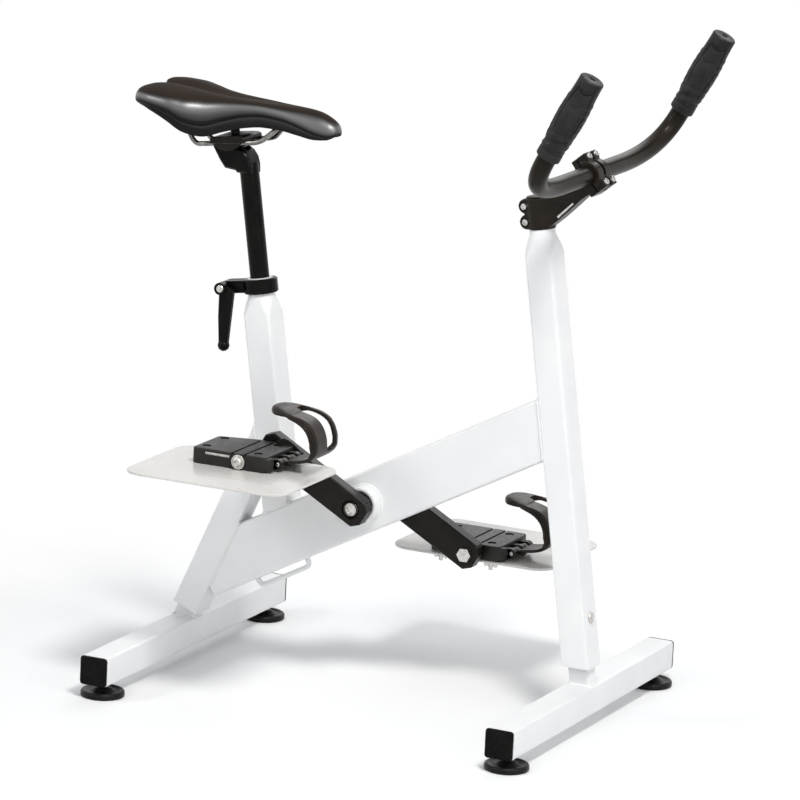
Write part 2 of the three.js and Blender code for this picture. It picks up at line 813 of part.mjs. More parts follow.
function makePedalNut(name, side) {
  const face = crankInner + crankThickness + pedalCrankGap + pedalWidth + seatGap;
  const bore = pedalAxleRadius + seatGap;
  const washerTop = face + pedalNutWasherHeight;
  const top = washerTop + pedalNutHeight;
  const socketFloor = top - pedalNutSocketDepth;
  const geometry = turned([
    [bore, face], [pedalNutWasher, face], [pedalNutWasher, washerTop], [pedalNutRadius, washerTop],
    [pedalNutRadius, top - pedalNutEdge], [pedalNutRadius - pedalNutEdge, top], [pedalNutSocket, top],
    [pedalNutSocket, socketFloor], [0, socketFloor], [0, washerTop + seatGap], [bore, washerTop + seatGap],
    [bore, face],
  ], 16);
  return piece(name, geometry.rotateX(side * -Math.PI / 2).translate(side * crankLength, 0, 0), stainless);
}

function makeCrankGroup() {
  const group = new THREE.Group();
  group.position.copy(crankCentre);
  group.rotation.y = Math.PI - THREE.MathUtils.degToRad(crankRestAngle);
  group.add(makeCrankAxle());
  for (const [word, side] of [['right', -1], ['left', 1]]) {
    group.add(makeCrank(`crank_${word}`, side));
    group.add(makeCrankBolt(`crank_bolt_${word}`, side));
    group.add(makePedalAxle(`pedal_axle_${word}`, side));
    group.add(makePedalNut(`pedal_nut_${word}`, side));
  }
  return group;
}

// Bolt places on a pedal: forward from its axle, then sideways towards the crank
const plateBoltPlaces = {
  rear_outer: [plateBoltRear, -plateBoltSide],
  rear_inner: [plateBoltRear, plateBoltRearInner],
  front_outer: [plateBoltFront, -plateBoltSide],
  front_inner: [plateBoltFront, plateBoltSide],
};

// The three lugs at a pedal's front that carry the clip pin
function pedalLugs(half) {
  const root = pedalFront - pedalEdge - cutOverrun;
  const arm = [[root, -pedalLugRadius], [pedalLugAt, -pedalLugRadius], [pedalLugAt, pedalLugRadius],
    [root, pedalLugRadius]];
  const spans = [
    [-half, -half + pedalLugWidth],
    [-pedalCentreLug / 2, pedalCentreLug / 2],
    [half - pedalLugWidth, half],
  ];
  return spans.map(([from, to]) => {
    const knuckle = crossRod(pedalLugRadius, pedalLugAt, 0, from, to, 14);
    return solid(sidePrism(arm, from, to)).add(solid(knuckle));
  });
}

// Side outline of the guard that stands along a pedal's crank side
function pedalGuardOutline() {
  const top = pedalTop + pedalGuardRise;
  const guard = new THREE.Shape();
  guard.moveTo(pedalGuardRear, pedalTop - cutOverrun);
  guard.quadraticCurveTo(pedalGuardRear + pedalLugRadius, top, pedalGuardCrown, top);
  guard.quadraticCurveTo(pedalFront, top, pedalLugAt + pedalLugRadius / 2, pedalLugRadius / 2);
  guard.lineTo(pedalLugAt, 0);
  guard.lineTo(pedalFront - pedalLugRadius, 0);
  return guard;
}

// Cross grooves, bolt seats, the long slot in the outer side, the axle bore and the clip pin's bore
function pedalCuts(half) {
  const cuts = [];
  for (const x of [pedalGrooveRear, pedalGrooveFront]) {
    const inner = half - pedalLugWidth - pedalGrooveEnd;
    cuts.push(box(x - pedalGrooveWidth / 2, x + pedalGrooveWidth / 2, -half - cutOverrun, inner,
      pedalTop - pedalGrooveDepth, pedalTop + cutOverrun));
  }
  for (const [x, y] of Object.values(plateBoltPlaces)) {
    cuts.push(rod(plateBoltShank + seatGap, -pedalBottom - cutOverrun, pedalTop, 10).translate(x, y, 0));
    cuts.push(rod(plateBoltHead + 2 * seatGap, pedalTop - plateBoltSink, pedalTop + cutOverrun, 12)
      .translate(x, y, 0));
  }
  cuts.push(box(pedalSlotCentre - pedalSlotLength / 2, pedalSlotCentre + pedalSlotLength / 2,
    -half - cutOverrun, -half + pedalSlotDepth,
    pedalSlotRise - pedalSlotHeight / 2, pedalSlotRise + pedalSlotHeight / 2));
  const reach = pedalWidth + cutOverrun;
  cuts.push(crossRod(pedalAxleRadius + runningGap, 0, 0, -reach, reach, 20));
  cuts.push(crossRod(clipPinRadius + seatGap, pedalLugAt, 0, -reach, reach, 12));
  return cuts;
}

// Pedal block with its lugs, guard and cuts; outer side at -Y
function makePedalBlock() {
  const half = pedalWidth / 2;
  const plan = roundedOutline([
    [-pedalRear, -half], [pedalFront, -half], [pedalFront, half], [pedalTaperAt, half],
    [-pedalRear, pedalRearInner],
  ], pedalCorner);
  const slab = beveledPrism(plan, pedalTop + pedalBottom, pedalEdge, 3);
  let body = solid(slab.translate(0, 0, -pedalBottom));
  for (const lug of pedalLugs(half)) body = body.add(lug);
  body = body.add(solid(sidePrism(pedalGuardOutline(), half - pedalLugWidth, half - pedalEdge)));
  for (const cut of pedalCuts(half)) body = body.subtract(solid(cut));
  return shape3d(body);
}

function makeResistancePlate() {
  const length = plateRear + plateFront;
  const width = plateOuter - plateInner;
  const plan = roundedRectangle(length, width, plateCorner);
  const centre = crankInner + crankThickness + pedalCrankGap + pedalWidth / 2;
  const under = -pedalBottom - seatGap - plateThickness;
  const sideways = centre - (plateInner + plateOuter) / 2;
  const slab = beveledPrism(plan, plateThickness, plateThickness * plateEdgeShare, 3);
  let body = solid(slab.translate((plateFront - plateRear) / 2, sideways, under));
  for (const [x, y] of Object.values(plateBoltPlaces)) {
    const hole = rod(plateBoltShank + seatGap, -pedalWidth, pedalWidth, 10);
    body = body.subtract(solid(hole.translate(x, y, 0)));
  }
  return shape3d(body);
}

// One wing of a wing nut, as shares of half its span and of its height, from the hub outwards
const wingShares = [[0, 0.11], [0.9, 0.11], [1, 0.67], [0.8, 1], [0.5, 0.78], [0, 0.78]];

// Countersunk bolt from above with its wing nut below the plate
function makePlateBolt() {
  const headTop = pedalTop - plateBoltSink + plateBoltHeadHeight + seatGap;
  const headBottom = pedalTop - plateBoltSink + seatGap;
  const nutTop = -pedalBottom - plateThickness - 2 * seatGap;
  const nutBottom = nutTop - wingHubHeight;
  const end = nutBottom - boltTail;
  let body = solid(turned([
    [0, end], [plateBoltShank, end], [plateBoltShank, nutBottom], [wingHub - wingHubTaper, nutBottom],
    [wingHub, nutTop], [plateBoltShank, nutTop], [plateBoltShank, headBottom], [plateBoltHead, headBottom],
    [plateBoltHead, headTop], [0, headTop],
  ], 8));
  for (const side of [-1, 1]) {
    const wing = wingShares.map(([x, z]) => [side * x * wingSpan / 2, nutTop - z * wingHeight]);
    body = body.add(solid(sidePrism(wing, -wingThickness / 2, wingThickness / 2)));
  }
  return shape3d(body);
}

// Side curve of the toe clip, from its tongue round the front and back over the toes
const clipReachShares = [0.46, 0.58, 0.72, 0.86, 0.96, 0.995, 1, 0.96, 0.88, 0.75, 0.6, 0.45, 0.29];
const clipRiseShares = [0.01, 0.015, 0.04, 0.12, 0.25, 0.4, 0.58, 0.78, 0.91, 0.955, 0.965, 0.975, 1];

function clipCurve() {
  return new THREE.SplineCurve(clipReachShares.map((share, i) => new THREE.Vector2(clipReach * share,
    clipHeight * clipRiseShares[i])));
}

// Half width of the clip band at a share of its length
function clipHalfWidth(share) {
  const wide = clipWidth / 2;
  const tip = clipTipWidth / 2;
  if (share < clipNarrowShare) return wide;
  const t = (share - clipNarrowShare) / (1 - clipNarrowShare);
  const narrowed = THREE.MathUtils.lerp(wide, tip, t * t * (3 - 2 * t));
  if (t < clipTipShare) return narrowed;
  return narrowed * Math.sqrt(1 - ((t - clipTipShare) / clipTipRoundShare) ** 2);
}

function bandGeometry(points, normals, halfWidths, thickness) {
  const rings = points.map((point, i) => {
    const n = normals[i];
    const outer = point.clone().addScaledVector(n, thickness / 2);
    const inner = point.clone().addScaledVector(n, -thickness / 2);
    const w = halfWidths[i];
    return [[outer.x, -w, outer.y], [outer.x, w, outer.y], [inner.x, w, inner.y], [inner.x, -w, inner.y]];
  });
  return loft(rings);
}

// Skin over a row of rings, closed at both ends by strips between each ring's two halves
function loft(rings) {
  const count = rings[0].length;
  const positions = rings.flat(2);
  const index = [];
  for (let i = 0; i + 1 < rings.length; i += 1) {
    for (let j = 0; j < count; j += 1) {
      const a = i * count + j;
      const b = i * count + (j + 1) % count;
      index.push(a, b, b + count, a, b + count, a + count);
    }
  }
  const last = (rings.length - 1) * count;
  for (let a = 0; 2 * (a + 1) < count; a += 1) {
    const [b, c, d] = [a + 1, count - 2 - a, count - 1 - a];
    index.push(a, c, b, a, d, c);
    index.push(last + a, last + b, last + c, last + a, last + c, last + d);
  }
  const geometry = new THREE.BufferGeometry();
  geometry.setAttribute('position', new THREE.Float32BufferAttribute(positions, 3));
  geometry.setIndex(index);
  return geometry;
}

// Stiffening flange along the clip's outer leg, deepest at mid height
function clipFlange(points, normals, widths, steps) {
  const from = Math.round(steps * clipFlangeFromShare);
  const to = Math.round(steps * clipFlangeToShare);
  const rings = [];
  for (let i = from; i <= to; i += 1) {
    const share = (i - from + 1) / (to - from + 2);
    const depth = clipFlangeLeast + clipFlangeDepth * Math.sin(Math.PI * share);
    const inner = points[i].clone().addScaledVector(normals[i], -depth);
    const low = -widths[i] - clipOutward;
    const high = low + clipFlangeThickness;
    rings.push([[points[i].x, low, points[i].y], [points[i].x, high, points[i].y],
      [inner.x, high, inner.y], [inner.x, low, inner.y]]);
  }
  return solid(loft(rings));
}

// The tapering opening in the clip's front
function clipWindow() {
  const top = clipHeight + cutOverrun + clipThickness;
  const window = new THREE.Shape();
  window.moveTo(-clipWindowOuter, clipWindowBottom);
  window.lineTo(clipWindowInner, clipWindowBottom);
  window.lineTo(clipWindowInner - clipWindowTaper, top);
  window.lineTo(-clipWindowOuter + clipWindowTaper, top);
  const place = new THREE.Matrix4().makeBasis(lateral, upward, forward);
  place.setPosition(new THREE.Vector3(clipWindowRear, 0, 0));
  return solid(prism(window, clipReach).applyMatrix4(place));
}

// The two knuckles at the clip's root, either side of the pedal's centre lug
function clipTongues() {
  const low = pedalCentreLug / 2 + seatGap;
  const high = pedalWidth / 2 - pedalLugWidth - seatGap;
  return [crossRod(clipTongueRadius, pedalLugAt, 0, -high, -low, 14),
    crossRod(clipTongueRadius, pedalLugAt, 0, low, high, 14)];
}

// Room for the pedal's centre lug, for the pin and for the pedal's front face
function clipRooms() {
  const lug = pedalCentreLug / 2 + seatGap;
  const face = pedalFront + 2 * seatGap;
  return [
    box(pedalLugAt - farAway, pedalLugAt + clipTongueRoom, -lug, lug, -pedalLugRadius, pedalLugRadius),
    crossRod(clipPinRadius + seatGap, pedalLugAt, 0, -pedalWidth, pedalWidth, 12),
    box(-farAway, face, -farAway, farAway, -pedalLugRadius, pedalLugRadius),
  ];
}

function makeToeClip() {
  const curve = clipCurve();
  const steps = 24;
  const points = curve.getSpacedPoints(steps);
  const normals = points.map((point, i) => {
    const before = points[Math.max(i - 1, 0)];
    const after = points[Math.min(i + 1, steps)];
    const tangent = after.clone().sub(before).normalize();
    return new THREE.Vector2(tangent.y, -tangent.x);
  });
  const widths = points.map((point, i) => clipHalfWidth(i / steps));
  let body = solid(bandGeometry(points, normals, widths, clipThickness).translate(0, -clipOutward, 0));
  body = body.add(clipFlange(points, normals, widths, steps)).subtract(clipWindow());
  for (const tongue of clipTongues()) body = body.add(solid(tongue));
  for (const room of clipRooms()) body = body.subtract(solid(room));
  return shape3d(body);
}

function makePedal(word, side) {
  const group = new THREE.Group();
  const angle = THREE.MathUtils.degToRad(crankRestAngle);
  const reach = -side * crankLength;
  const centre = crankInner + crankThickness + pedalCrankGap + pedalWidth / 2;
  group.position.set(crankX + reach * Math.cos(angle), side * centre, crankZ + reach * Math.sin(angle));
  const facing = (geometry) => (side > 0 ? mirrored(geometry) : geometry);
  group.add(piece(`pedal_block_${word}`, facing(makePedalBlock()), blackPlastic));
  group.add(piece(`resistance_plate_${word}`, facing(makeResistancePlate()), clearPlate));
  group.add(piece(`toe_clip_${word}`, makeToeClip(), blackPlastic));
  const pinHalf = pedalWidth / 2 - clipPinInset;
  const pin = crossRod(clipPinRadius, pedalLugAt, 0, -pinHalf, pinHalf, 16);
  group.add(piece(`clip_pin_${word}`, pin, stainless));
  for (const [place, [x, y]] of Object.entries(plateBoltPlaces)) {
    const geometry = makePlateBolt().translate(x, -side * y, 0);
    group.add(piece(`plate_bolt_${place}_${word}`, geometry, stainless));
  }
  return group;
}

// Side outline of the seat post's head, as shares of its height from the top of the round tube
const headShares = [
  [-0.33, 0.15], [0.22, 0.15], [0.2, 0.45], [0.12, 0.7], [-0.04, 0.9], [-0.2, 1], [-1.28, 0.95], [-1, 0.5],
  [-0.8, 0.26], [-0.4, 0.22],
];

// Seat post with a forged head whose hollow top lets the saddle clamp rock
function makeSeatPost(rockerCentre) {
  const start = along(seatRoot, uprightAxis, seatTubeTop + seatNeckHeight - seatPostBelow);
  const headBase = along(seatRoot, uprightAxis, seatPostHeadAt);
  const length = headBase.distanceTo(start) + headHeight / 2;
  const place = axes(start, uprightAxis, lateral);
  const tube = solid(rod(seatPostRadius, 0, length).applyMatrix4(place));
  const boreRadius = seatPostRadius - seatPostWall;
  const bore = solid(rod(boreRadius, -cutOverrun, length - headHeight / 2, 20).applyMatrix4(place));
  const outline = headShares.map(([x, z]) => [headBase.x + headHeight * x, headBase.z + headHeight * z]);
  const head = solid(sidePrism(outline, -headWidth / 2, headWidth / 2, headEdge));
  const socketRadius = rockerRadius + seatGap;
  const rocker = solid(crossRod(socketRadius, rockerCentre.x, rockerCentre.z, -farAway, farAway, 64));
  const slotSide = clampBoltRadius + headSlotFit;
  const slot = box(-headSlotRear, headSlotFront, -slotSide, slotSide, -farAway, 0);
  const slotBody = solid(slot.applyMatrix4(axes(rockerCentre, upward, forward)));
  const slotFloor = solid(box(-farAway, farAway, -farAway, farAway, -farAway, 0)
    .applyMatrix4(axes(new THREE.Vector3(0, 0, headBase.z + headSlotFloor), upward, forward)));
  const body = tube.add(head).subtract(bore).subtract(rocker).subtract(slotBody.subtract(slotFloor));
  return piece('seat_post', body, blackMetal);
}

// Saddle clamp pieces are built level around the clamp centre, then tipped to the rails' slope
function makeRailCradle() {
  const half = rockerLength / 2;
  const flat = box(-half, half, -clampWidth / 2, clampWidth / 2, -2 * clampThickness, -seatGap);
  const rocker = crossRod(rockerRadius, 0, rockerRadius - clampThickness, -clampWidth, clampWidth, 64);
  let body = solid(flat).intersect(solid(rocker));
  body = body.subtract(railGrooves(half));
  return shape3d(body.subtract(clampBoltHole()));
}

function makeRailClamp() {
  const half = clampLength / 2;
  const top = clampThickness;
  const outline = new THREE.Shape();
  outline.moveTo(-half, seatGap);
  outline.lineTo(-half, top * 0.5);
  outline.quadraticCurveTo(-half, top, -half + top, top);
  outline.lineTo(half - top, top);
  outline.quadraticCurveTo(half, top, half, top * 0.5);
  outline.lineTo(half, seatGap);
  let body = solid(sidePrism(outline, -clampWidth / 2, clampWidth / 2, clampEdge));
  body = body.subtract(solid(box(-half, half, -farAway, farAway, -top, seatGap)));
  body = body.subtract(railGrooves(half));
  return shape3d(body.subtract(clampBoltHole()));
}

function railGrooves(half) {
  let grooves = null;
  for (const y of [-railSpread, railSpread]) {
    const wire = rod(railRadius + seatGap, -half - cutOverrun, half + cutOverrun, 16).rotateY(Math.PI / 2);
    const groove = solid(wire.translate(0, y, 0));
    grooves = grooves ? grooves.add(groove) : groove;
  }
  return grooves;
}

function clampBoltHole() {
  return solid(rod(clampBoltRadius + seatGap, -farAway, farAway, 20));
}

function makeClampBolt() {
  const face = clampThickness + seatGap;
  const end = face - clampBoltReach - clampThickness;
  const top = face + clampBoltHeadHeight;
  const socketFloor = top - clampBoltSocket;
  return turned([
    [0, end], [clampBoltRadius, end], [clampBoltRadius, face], [clampBoltHead, face],
    [clampBoltHead, top - clampBoltEdge], [clampBoltHead - clampBoltEdge, top],
    [clampBoltHead / 2, top], [clampBoltHead / 2, socketFloor], [0, socketFloor],
  ], 20);
}

// One wire bent round: rear end, straight under the clamp, up to the nose, and back on the other side
function makeRails(toCushion) {
  const straightRear = clampCentreX - railStraightRear;
  const straightFront = clampCentreX + railStraightFront;
  const z = (x) => clampCentreZ + railSlope * (x - clampCentreX);
  const rearX = straightRear - railRearRun;
  const noseX = saddleRearX + saddleLength * railNoseShare;
  const noseSpread = railSpread * railNoseSpreadShare;
  const noseZ = toCushion(noseX, noseSpread) - railRadius - cushionGap;
  const rearZ = toCushion(rearX, railSpread) - railRadius - cushionGap;
  const path = new THREE.CurvePath();
  const p = (x, y, height) => new THREE.Vector3(x, y, height);
  const riseX = noseX - railNoseRun;
  const side = (s) => {
    const y = s * railSpread;
    const rear = p(rearX, y * railRearSpreadShare, rearZ);
    const a = p(straightRear, y, z(straightRear));
    const b = p(straightFront, y, z(straightFront));
    const c = p(riseX, s * noseSpread, noseZ);
    const beforeStraight = straightRear - railRearBend;
    const afterStraight = straightFront + railFrontBend;
    return [rear, p(beforeStraight, y, z(beforeStraight)), a, b, p(afterStraight, y, z(afterStraight)), c];
  };
  const right = side(-1);
  const left = side(1);
  path.add(new THREE.QuadraticBezierCurve3(right[0], right[1], right[2]));
  path.add(new THREE.LineCurve3(right[2], right[3]));
  path.add(new THREE.QuadraticBezierCurve3(right[3], right[4], right[5]));
  const noseRight = p(noseX, -noseSpread, noseZ);
  const noseLeft = p(noseX, noseSpread, noseZ);
  path.add(new THREE.CubicBezierCurve3(right[5], noseRight, noseLeft, left[5]));
  path.add(new THREE.QuadraticBezierCurve3(left[5], left[4], left[3]));
  path.add(new THREE.LineCurve3(left[3], left[2]));
  path.add(new THREE.QuadraticBezierCurve3(left[2], left[1], left[0]));
  const section = new THREE.Shape().absarc(0, 0, railRadius, 0, Math.PI * 2);
  return new THREE.ExtrudeGeometry(section, { extrudePath: path, steps: 48, curveSegments: 3 });
}

// Shares of the saddle's sizes along its length, from the rear lobes to the nose
const lengthShares = [
  0, 0.02, 0.06, 0.12, 0.2, 0.28, 0.36, 0.45,
  0.54, 0.63, 0.72, 0.81, 0.89, 0.95, 0.985, 1,
];
const widthShares = [
  0.62, 0.78, 0.9, 0.98, 1, 0.93, 0.74, 0.53,
  0.4, 0.33, 0.3, 0.275, 0.25, 0.2, 0.13, 0.05,
];
const topShares = [
  0.26, 0.12, 0.03, 0, 0.02, 0.08, 0.15, 0.2,
  0.23, 0.26, 0.3, 0.34, 0.42, 0.6, 0.8, 0.98,
];
const skirtShares = [
  0.36, 0.36, 0.4, 0.52, 0.7, 0.92, 1, 0.88,
  0.76, 0.7, 0.7, 0.72, 0.75, 0.78, 0.76, 0.72,
];
const channelShares = [
  1, 1, 1, 1, 0.95, 0.85, 0.7, 0.55,
  0.42, 0.32, 0.22, 0.12, 0.05, 0, 0, 0,
];

const hemShare = 0.94;
const hollowShare = 0.5;
const channelDepthShare = 0.35;
const notchLengthShare = 0.2;
const notchWidthShare = 0.55;
const sectionSteps = 7;

function shareAt(shares, t) {
  let i = 1;
  while (i < lengthShares.length - 1 && lengthShares[i] < t) i += 1;
  const span = (t - lengthShares[i - 1]) / (lengthShares[i] - lengthShares[i - 1]);
  return THREE.MathUtils.lerp(shares[i - 1], shares[i], THREE.MathUtils.clamp(span, 0, 1));
}

// Sizes of the saddle's cross-section at a share of its length
function saddleSection(t) {
  const top = saddleTopZ - saddleNoseDrop * shareAt(topShares, t);
  const skirt = Math.min(saddleTopZ - saddleSkirtFall * shareAt(skirtShares, t), top - saddleThinnest);
  return {
    x: saddleRearX + saddleLength * t,
    half: saddleHalfWidth * shareAt(widthShares, t),
    top,
    skirt,
    channel: Math.min(saddleChannel * shareAt(channelShares, t), channelDepthShare * (top - skirt)),
    notch: saddleNotch * Math.max(0, 1 - t / notchLengthShare) ** 1.5,
  };
}

// Underside of the cushion at a distance from the centre line
function undersideZ(section, y) {
  const across = Math.min(Math.abs(y) / (section.half * hemShare), 1);
  const height = section.top - section.skirt;
  const room = Math.min(height * hollowShare, height - section.channel - saddleThinnest);
  return section.skirt + room * (1 - across ** 2.5);
}

function notchBack(section, y) {
  return section.notch * Math.max(0, 1 - Math.abs(y) / (saddleHalfWidth * notchWidthShare));
}

function saddleRing(section) {
  const ring = [];
  for (let i = -sectionSteps; i <= sectionSteps; i += 1) {
    const angle = (i / sectionSteps) * Math.PI / 2;
    const y = section.half * Math.sign(angle) * Math.abs(Math.sin(angle)) ** 0.85;
    const crown = Math.cos(angle) ** 0.62;
    const dip = section.channel * Math.exp(-((y / saddleChannelHalf) ** 2));
    const z = section.skirt + (section.top - section.skirt) * crown - dip;
    ring.push([section.x + notchBack(section, y), y, z]);
  }
  const hem = section.half * hemShare;
  for (let i = sectionSteps; i >= -sectionSteps; i -= 1) {
    const y = hem * i / sectionSteps;
    const z = undersideZ(section, y) - (Math.abs(i) === sectionSteps ? cushionGap : 0);
    ring.push([section.x + notchBack(section, y), y, z]);
  }
  return ring;
}

function makeCushion() {
  const rings = lengthShares.map((t) => saddleRing(saddleSection(t)));
  return loft(rings);
}

// Thin shell under the cushion, following its underside
function makeShell() {
  const rings = [];
  const count = sectionSteps - 1;
  for (const t of lengthShares.slice(2, -2)) {
    const section = saddleSection(t);
    const ring = [];
    const add = (i, drop) => {
      const y = section.half * hemShare * i / sectionSteps;
      ring.push([section.x + notchBack(section, y), y, undersideZ(section, y) - drop]);
    };
    for (let i = -count; i <= count; i += 1) add(i, shellGap);
    for (let i = count; i >= -count; i -= 1) add(i, shellGap + shellThickness);
    rings.push(ring);
  }
  return loft(rings);
}

function makeCollar(place) {
  const inner = neckRadius + seatGap;
  const outer = inner + collarWall;
  const height = collarHeight;
  const edge = collarEdge;
  let body = solid(turned([
    [inner, 0], [outer - edge, 0], [outer, edge], [outer, height - edge], [outer - edge, height],
    [inner, height], [inner, 0],
  ], 24));
  const earSide = collarSplit / 2 + collarEarWidth;
  const ear = new THREE.Shape();
  ear.moveTo(0, edge);
  ear.lineTo(outer, edge);
  ear.lineTo(leverBack, height / 2 - collarEarRadius);
  ear.absarc(leverBack, height / 2, collarEarRadius, -Math.PI / 2, Math.PI / 2);
  ear.lineTo(outer, height - edge);
  ear.lineTo(0, height - edge);
  const earBody = solid(sidePrism(ear, -earSide, earSide).rotateZ(Math.PI / 2));
  body = body.add(earBody.subtract(solid(rod(inner + edge, -height, 2 * height, 24))));
  body = body.subtract(solid(box(-collarSplit / 2, collarSplit / 2, 0, farAway, -height, 2 * height)));
  const boltHole = rod(leverBoltRadius + seatGap, -farAway, farAway, 16).rotateY(Math.PI / 2);
  body = body.subtract(solid(boltHole.translate(0, leverBack, height / 2)));
  return shape3d(body).applyMatrix4(place);
}

function makeLever(pivot) {
  const hubFrom = -(collarSplit / 2 + collarEarWidth) - seatGap - leverHubWidth;
  const hubTo = hubFrom + leverHubWidth;
  let body = solid(crossRod(leverHubRadius, 0, 0, hubFrom, hubTo, 28));
  const armY = (hubFrom + hubTo) / 2;
  const armEnd = leverLength - leverBall;
  const ballX = leverTipWidth / 2;
  const arm = new THREE.Shape();
  arm.moveTo(-leverRear, 0);
  arm.lineTo(-leverRear, -armEnd / 2);
  arm.lineTo(ballX - leverTipWidth / 2, -armEnd);
  arm.lineTo(ballX + leverTipWidth / 2, -armEnd);
  arm.quadraticCurveTo(leverRootWidth - leverRear, -armEnd / 3, leverRootWidth, 0);
  arm.lineTo(leverHubRadius * 0.5, leverHubRadius / 2);
  body = body.add(solid(sidePrism(arm, armY - leverThickness / 2, armY + leverThickness / 2, leverEdge)));
  const ball = new THREE.SphereGeometry(leverBall, 12, 8).translate(ballX, armY, -armEnd);
  body = body.add(solid(ball));
  body = body.subtract(solid(crossRod(leverBoltRadius + runningGap, 0, 0, -farAway, farAway, 20)));
  const sink = crossRod(leverBoltHead + seatGap, 0, 0, hubFrom - cutOverrun, hubFrom + leverBoltSink, 20);
  body = body.subtract(solid(sink));
  return shape3d(body).translate(pivot.x, 0, pivot.z);
}

function makeLeverBolt(pivot) {
  const ears = collarSplit / 2 + collarEarWidth;
  const headAt = leverBoltSink - (ears + seatGap + leverHubWidth);
  const headTop = headAt - leverBoltHeadHeight;
  const headFace = headAt - seatGap;
  const nutTo = ears + seatGap + leverNutHeight;
  const shank = solid(rod(leverBoltRadius, headAt - leverBoltEdge, nutTo, 20));
  const head = solid(turned([
    [0, headTop], [leverBoltHead - leverBoltEdge, headTop], [leverBoltHead, headTop + leverBoltEdge],
    [leverBoltHead, headFace], [0, headFace],
  ], 20));
  const nut = solid(hexagon(2 * leverBoltHead, ears + seatGap, nutTo));
  return shape3d(shank.add(head).add(nut)).rotateX(-Math.PI / 2).translate(pivot.x, 0, pivot.z);
}

// Round jaw and flat ears that hold the handlebar, before they are split
function stemJaw(barCentre, place) {
  const half = stemClampWidth / 2;
  const jaw = crossRod(handlebarRadius + stemWall, barCentre.x, barCentre.z, -half, half, 28);
  const ears = roundedRectangle(stemEarThickness * 2, 2 * stemEar, stemCorner);
  const earWidth = stemClampWidth - 2 * stemEdge;
  const earBody = beveledPrism(ears, earWidth, stemBevel).translate(0, 0, -earWidth / 2);
  return solid(jaw).add(solid(earBody.applyMatrix4(place)));
}

// Tapering web with its window, from the steerer clamp to the handlebar clamp
function stemWeb(span) {
  const rootHalf = stemClampHeight * stemWebRootShare;
  const tipHalf = (handlebarRadius + stemWall) * stemWebTipShare;
  const web = new THREE.Shape();
  web.moveTo(0, -rootHalf);
  web.lineTo(span, -tipHalf);
  web.lineTo(span, tipHalf);
  web.lineTo(0, rootHalf);
  const body = beveledPrism(web, stemWidth, stemWebEdge).translate(0, 0, -stemWidth / 2);
  const window = roundedRectangle(stemWindowLength, stemWindowHeight, stemWindowCorner);
  const opening = prism(window, 2 * stemWidth, 3).translate(span * stemWindowShare, 0, -stemWidth);
  return shape3d(solid(body).subtract(solid(opening)));
}

// Split clamp round the steerer with its pinch boss behind, standing on local Z
function steererClamp() {
  const outer = steererRadius + stemWall;
  const top = stemClampHeight;
  const barrel = turned([[0, 0], [outer - stemEdge, 0], [outer, stemEdge], [outer, top - stemEdge],
    [outer - stemEdge, top], [0, top]], 28);
  const back = outer + stemBossBack;
  const boss = roundedRectangle(stemBossWidth, back, stemBossCorner);
  const bossBody = beveledPrism(boss, top - 2 * stemBossInset, stemBevel);
  bossBody.translate(0, back / 2, stemBossInset);
  const waist = crossRod(stemWaistRadius, 0, 0, -stemWidth, stemWidth, 20).rotateZ(Math.PI / 2);
  const waistBody = waist.translate(0, back + stemWaistOut, top / 2);
  return shape3d(solid(barrel).add(solid(bossBody)).subtract(solid(waistBody)));
}

// Stem with an open web between the steerer clamp and the handlebar clamp
function makeStem(steerBase, barCentre) {
  const place = axes(steerBase, uprightAxis, lateral);
  const steerMid = along(steerBase, uprightAxis, stemClampHeight / 2);
  const direction = barCentre.clone().sub(steerMid);
  const span = direction.length();
  direction.normalize();
  const webUp = new THREE.Vector3().crossVectors(direction, lateral);
  const webPlace = new THREE.Matrix4().makeBasis(direction, webUp, lateral.clone().negate());
  webPlace.setPosition(steerMid);
  const jaw = stemJaw(barCentre, webPlace.clone().setPosition(barCentre));
  const barHole = solid(crossRod(handlebarRadius + seatGap, barCentre.x, barCentre.z, -farAway, farAway, 24));
  const steererHole = rod(steererRadius + seatGap, -cutOverrun, stemClampHeight + cutOverrun, 24);
  const slit = box(-stemSlit / 2, stemSlit / 2, 0, farAway / 4, -cutOverrun, stemClampHeight + cutOverrun);
  let body = solid(stemWeb(span).applyMatrix4(webPlace));
  body = body.add(solid(steererClamp().applyMatrix4(place))).add(jaw);
  body = body.subtract(beyond(along(barCentre, direction, -faceplateGap / 2), direction));
  body = body.subtract(solid(steererHole.applyMatrix4(place)));
  body = body.subtract(barHole).subtract(solid(slit.applyMatrix4(place)));
  const plateBack = along(barCentre, direction, faceplateGap / 2);
  const barOuter = handlebarRadius + stemWall;
  const opening = prism(roundedRectangle(barOuter, barOuter * stemOpeningShare, stemCorner), farAway / 4);
  let plate = jaw.subtract(beyond(plateBack, direction.clone().negate())).subtract(barHole);
  plate = plate.subtract(solid(opening.applyMatrix4(axes(barCentre, direction, lateral))));
  return [piece('stem', body, blackMetal), piece('stem_faceplate', plate, blackMetal)];
}

// Upright direction of the grips, in the side plane
const gripDirection = new THREE.Vector3(handlebarSlope, 0, 1).normalize();

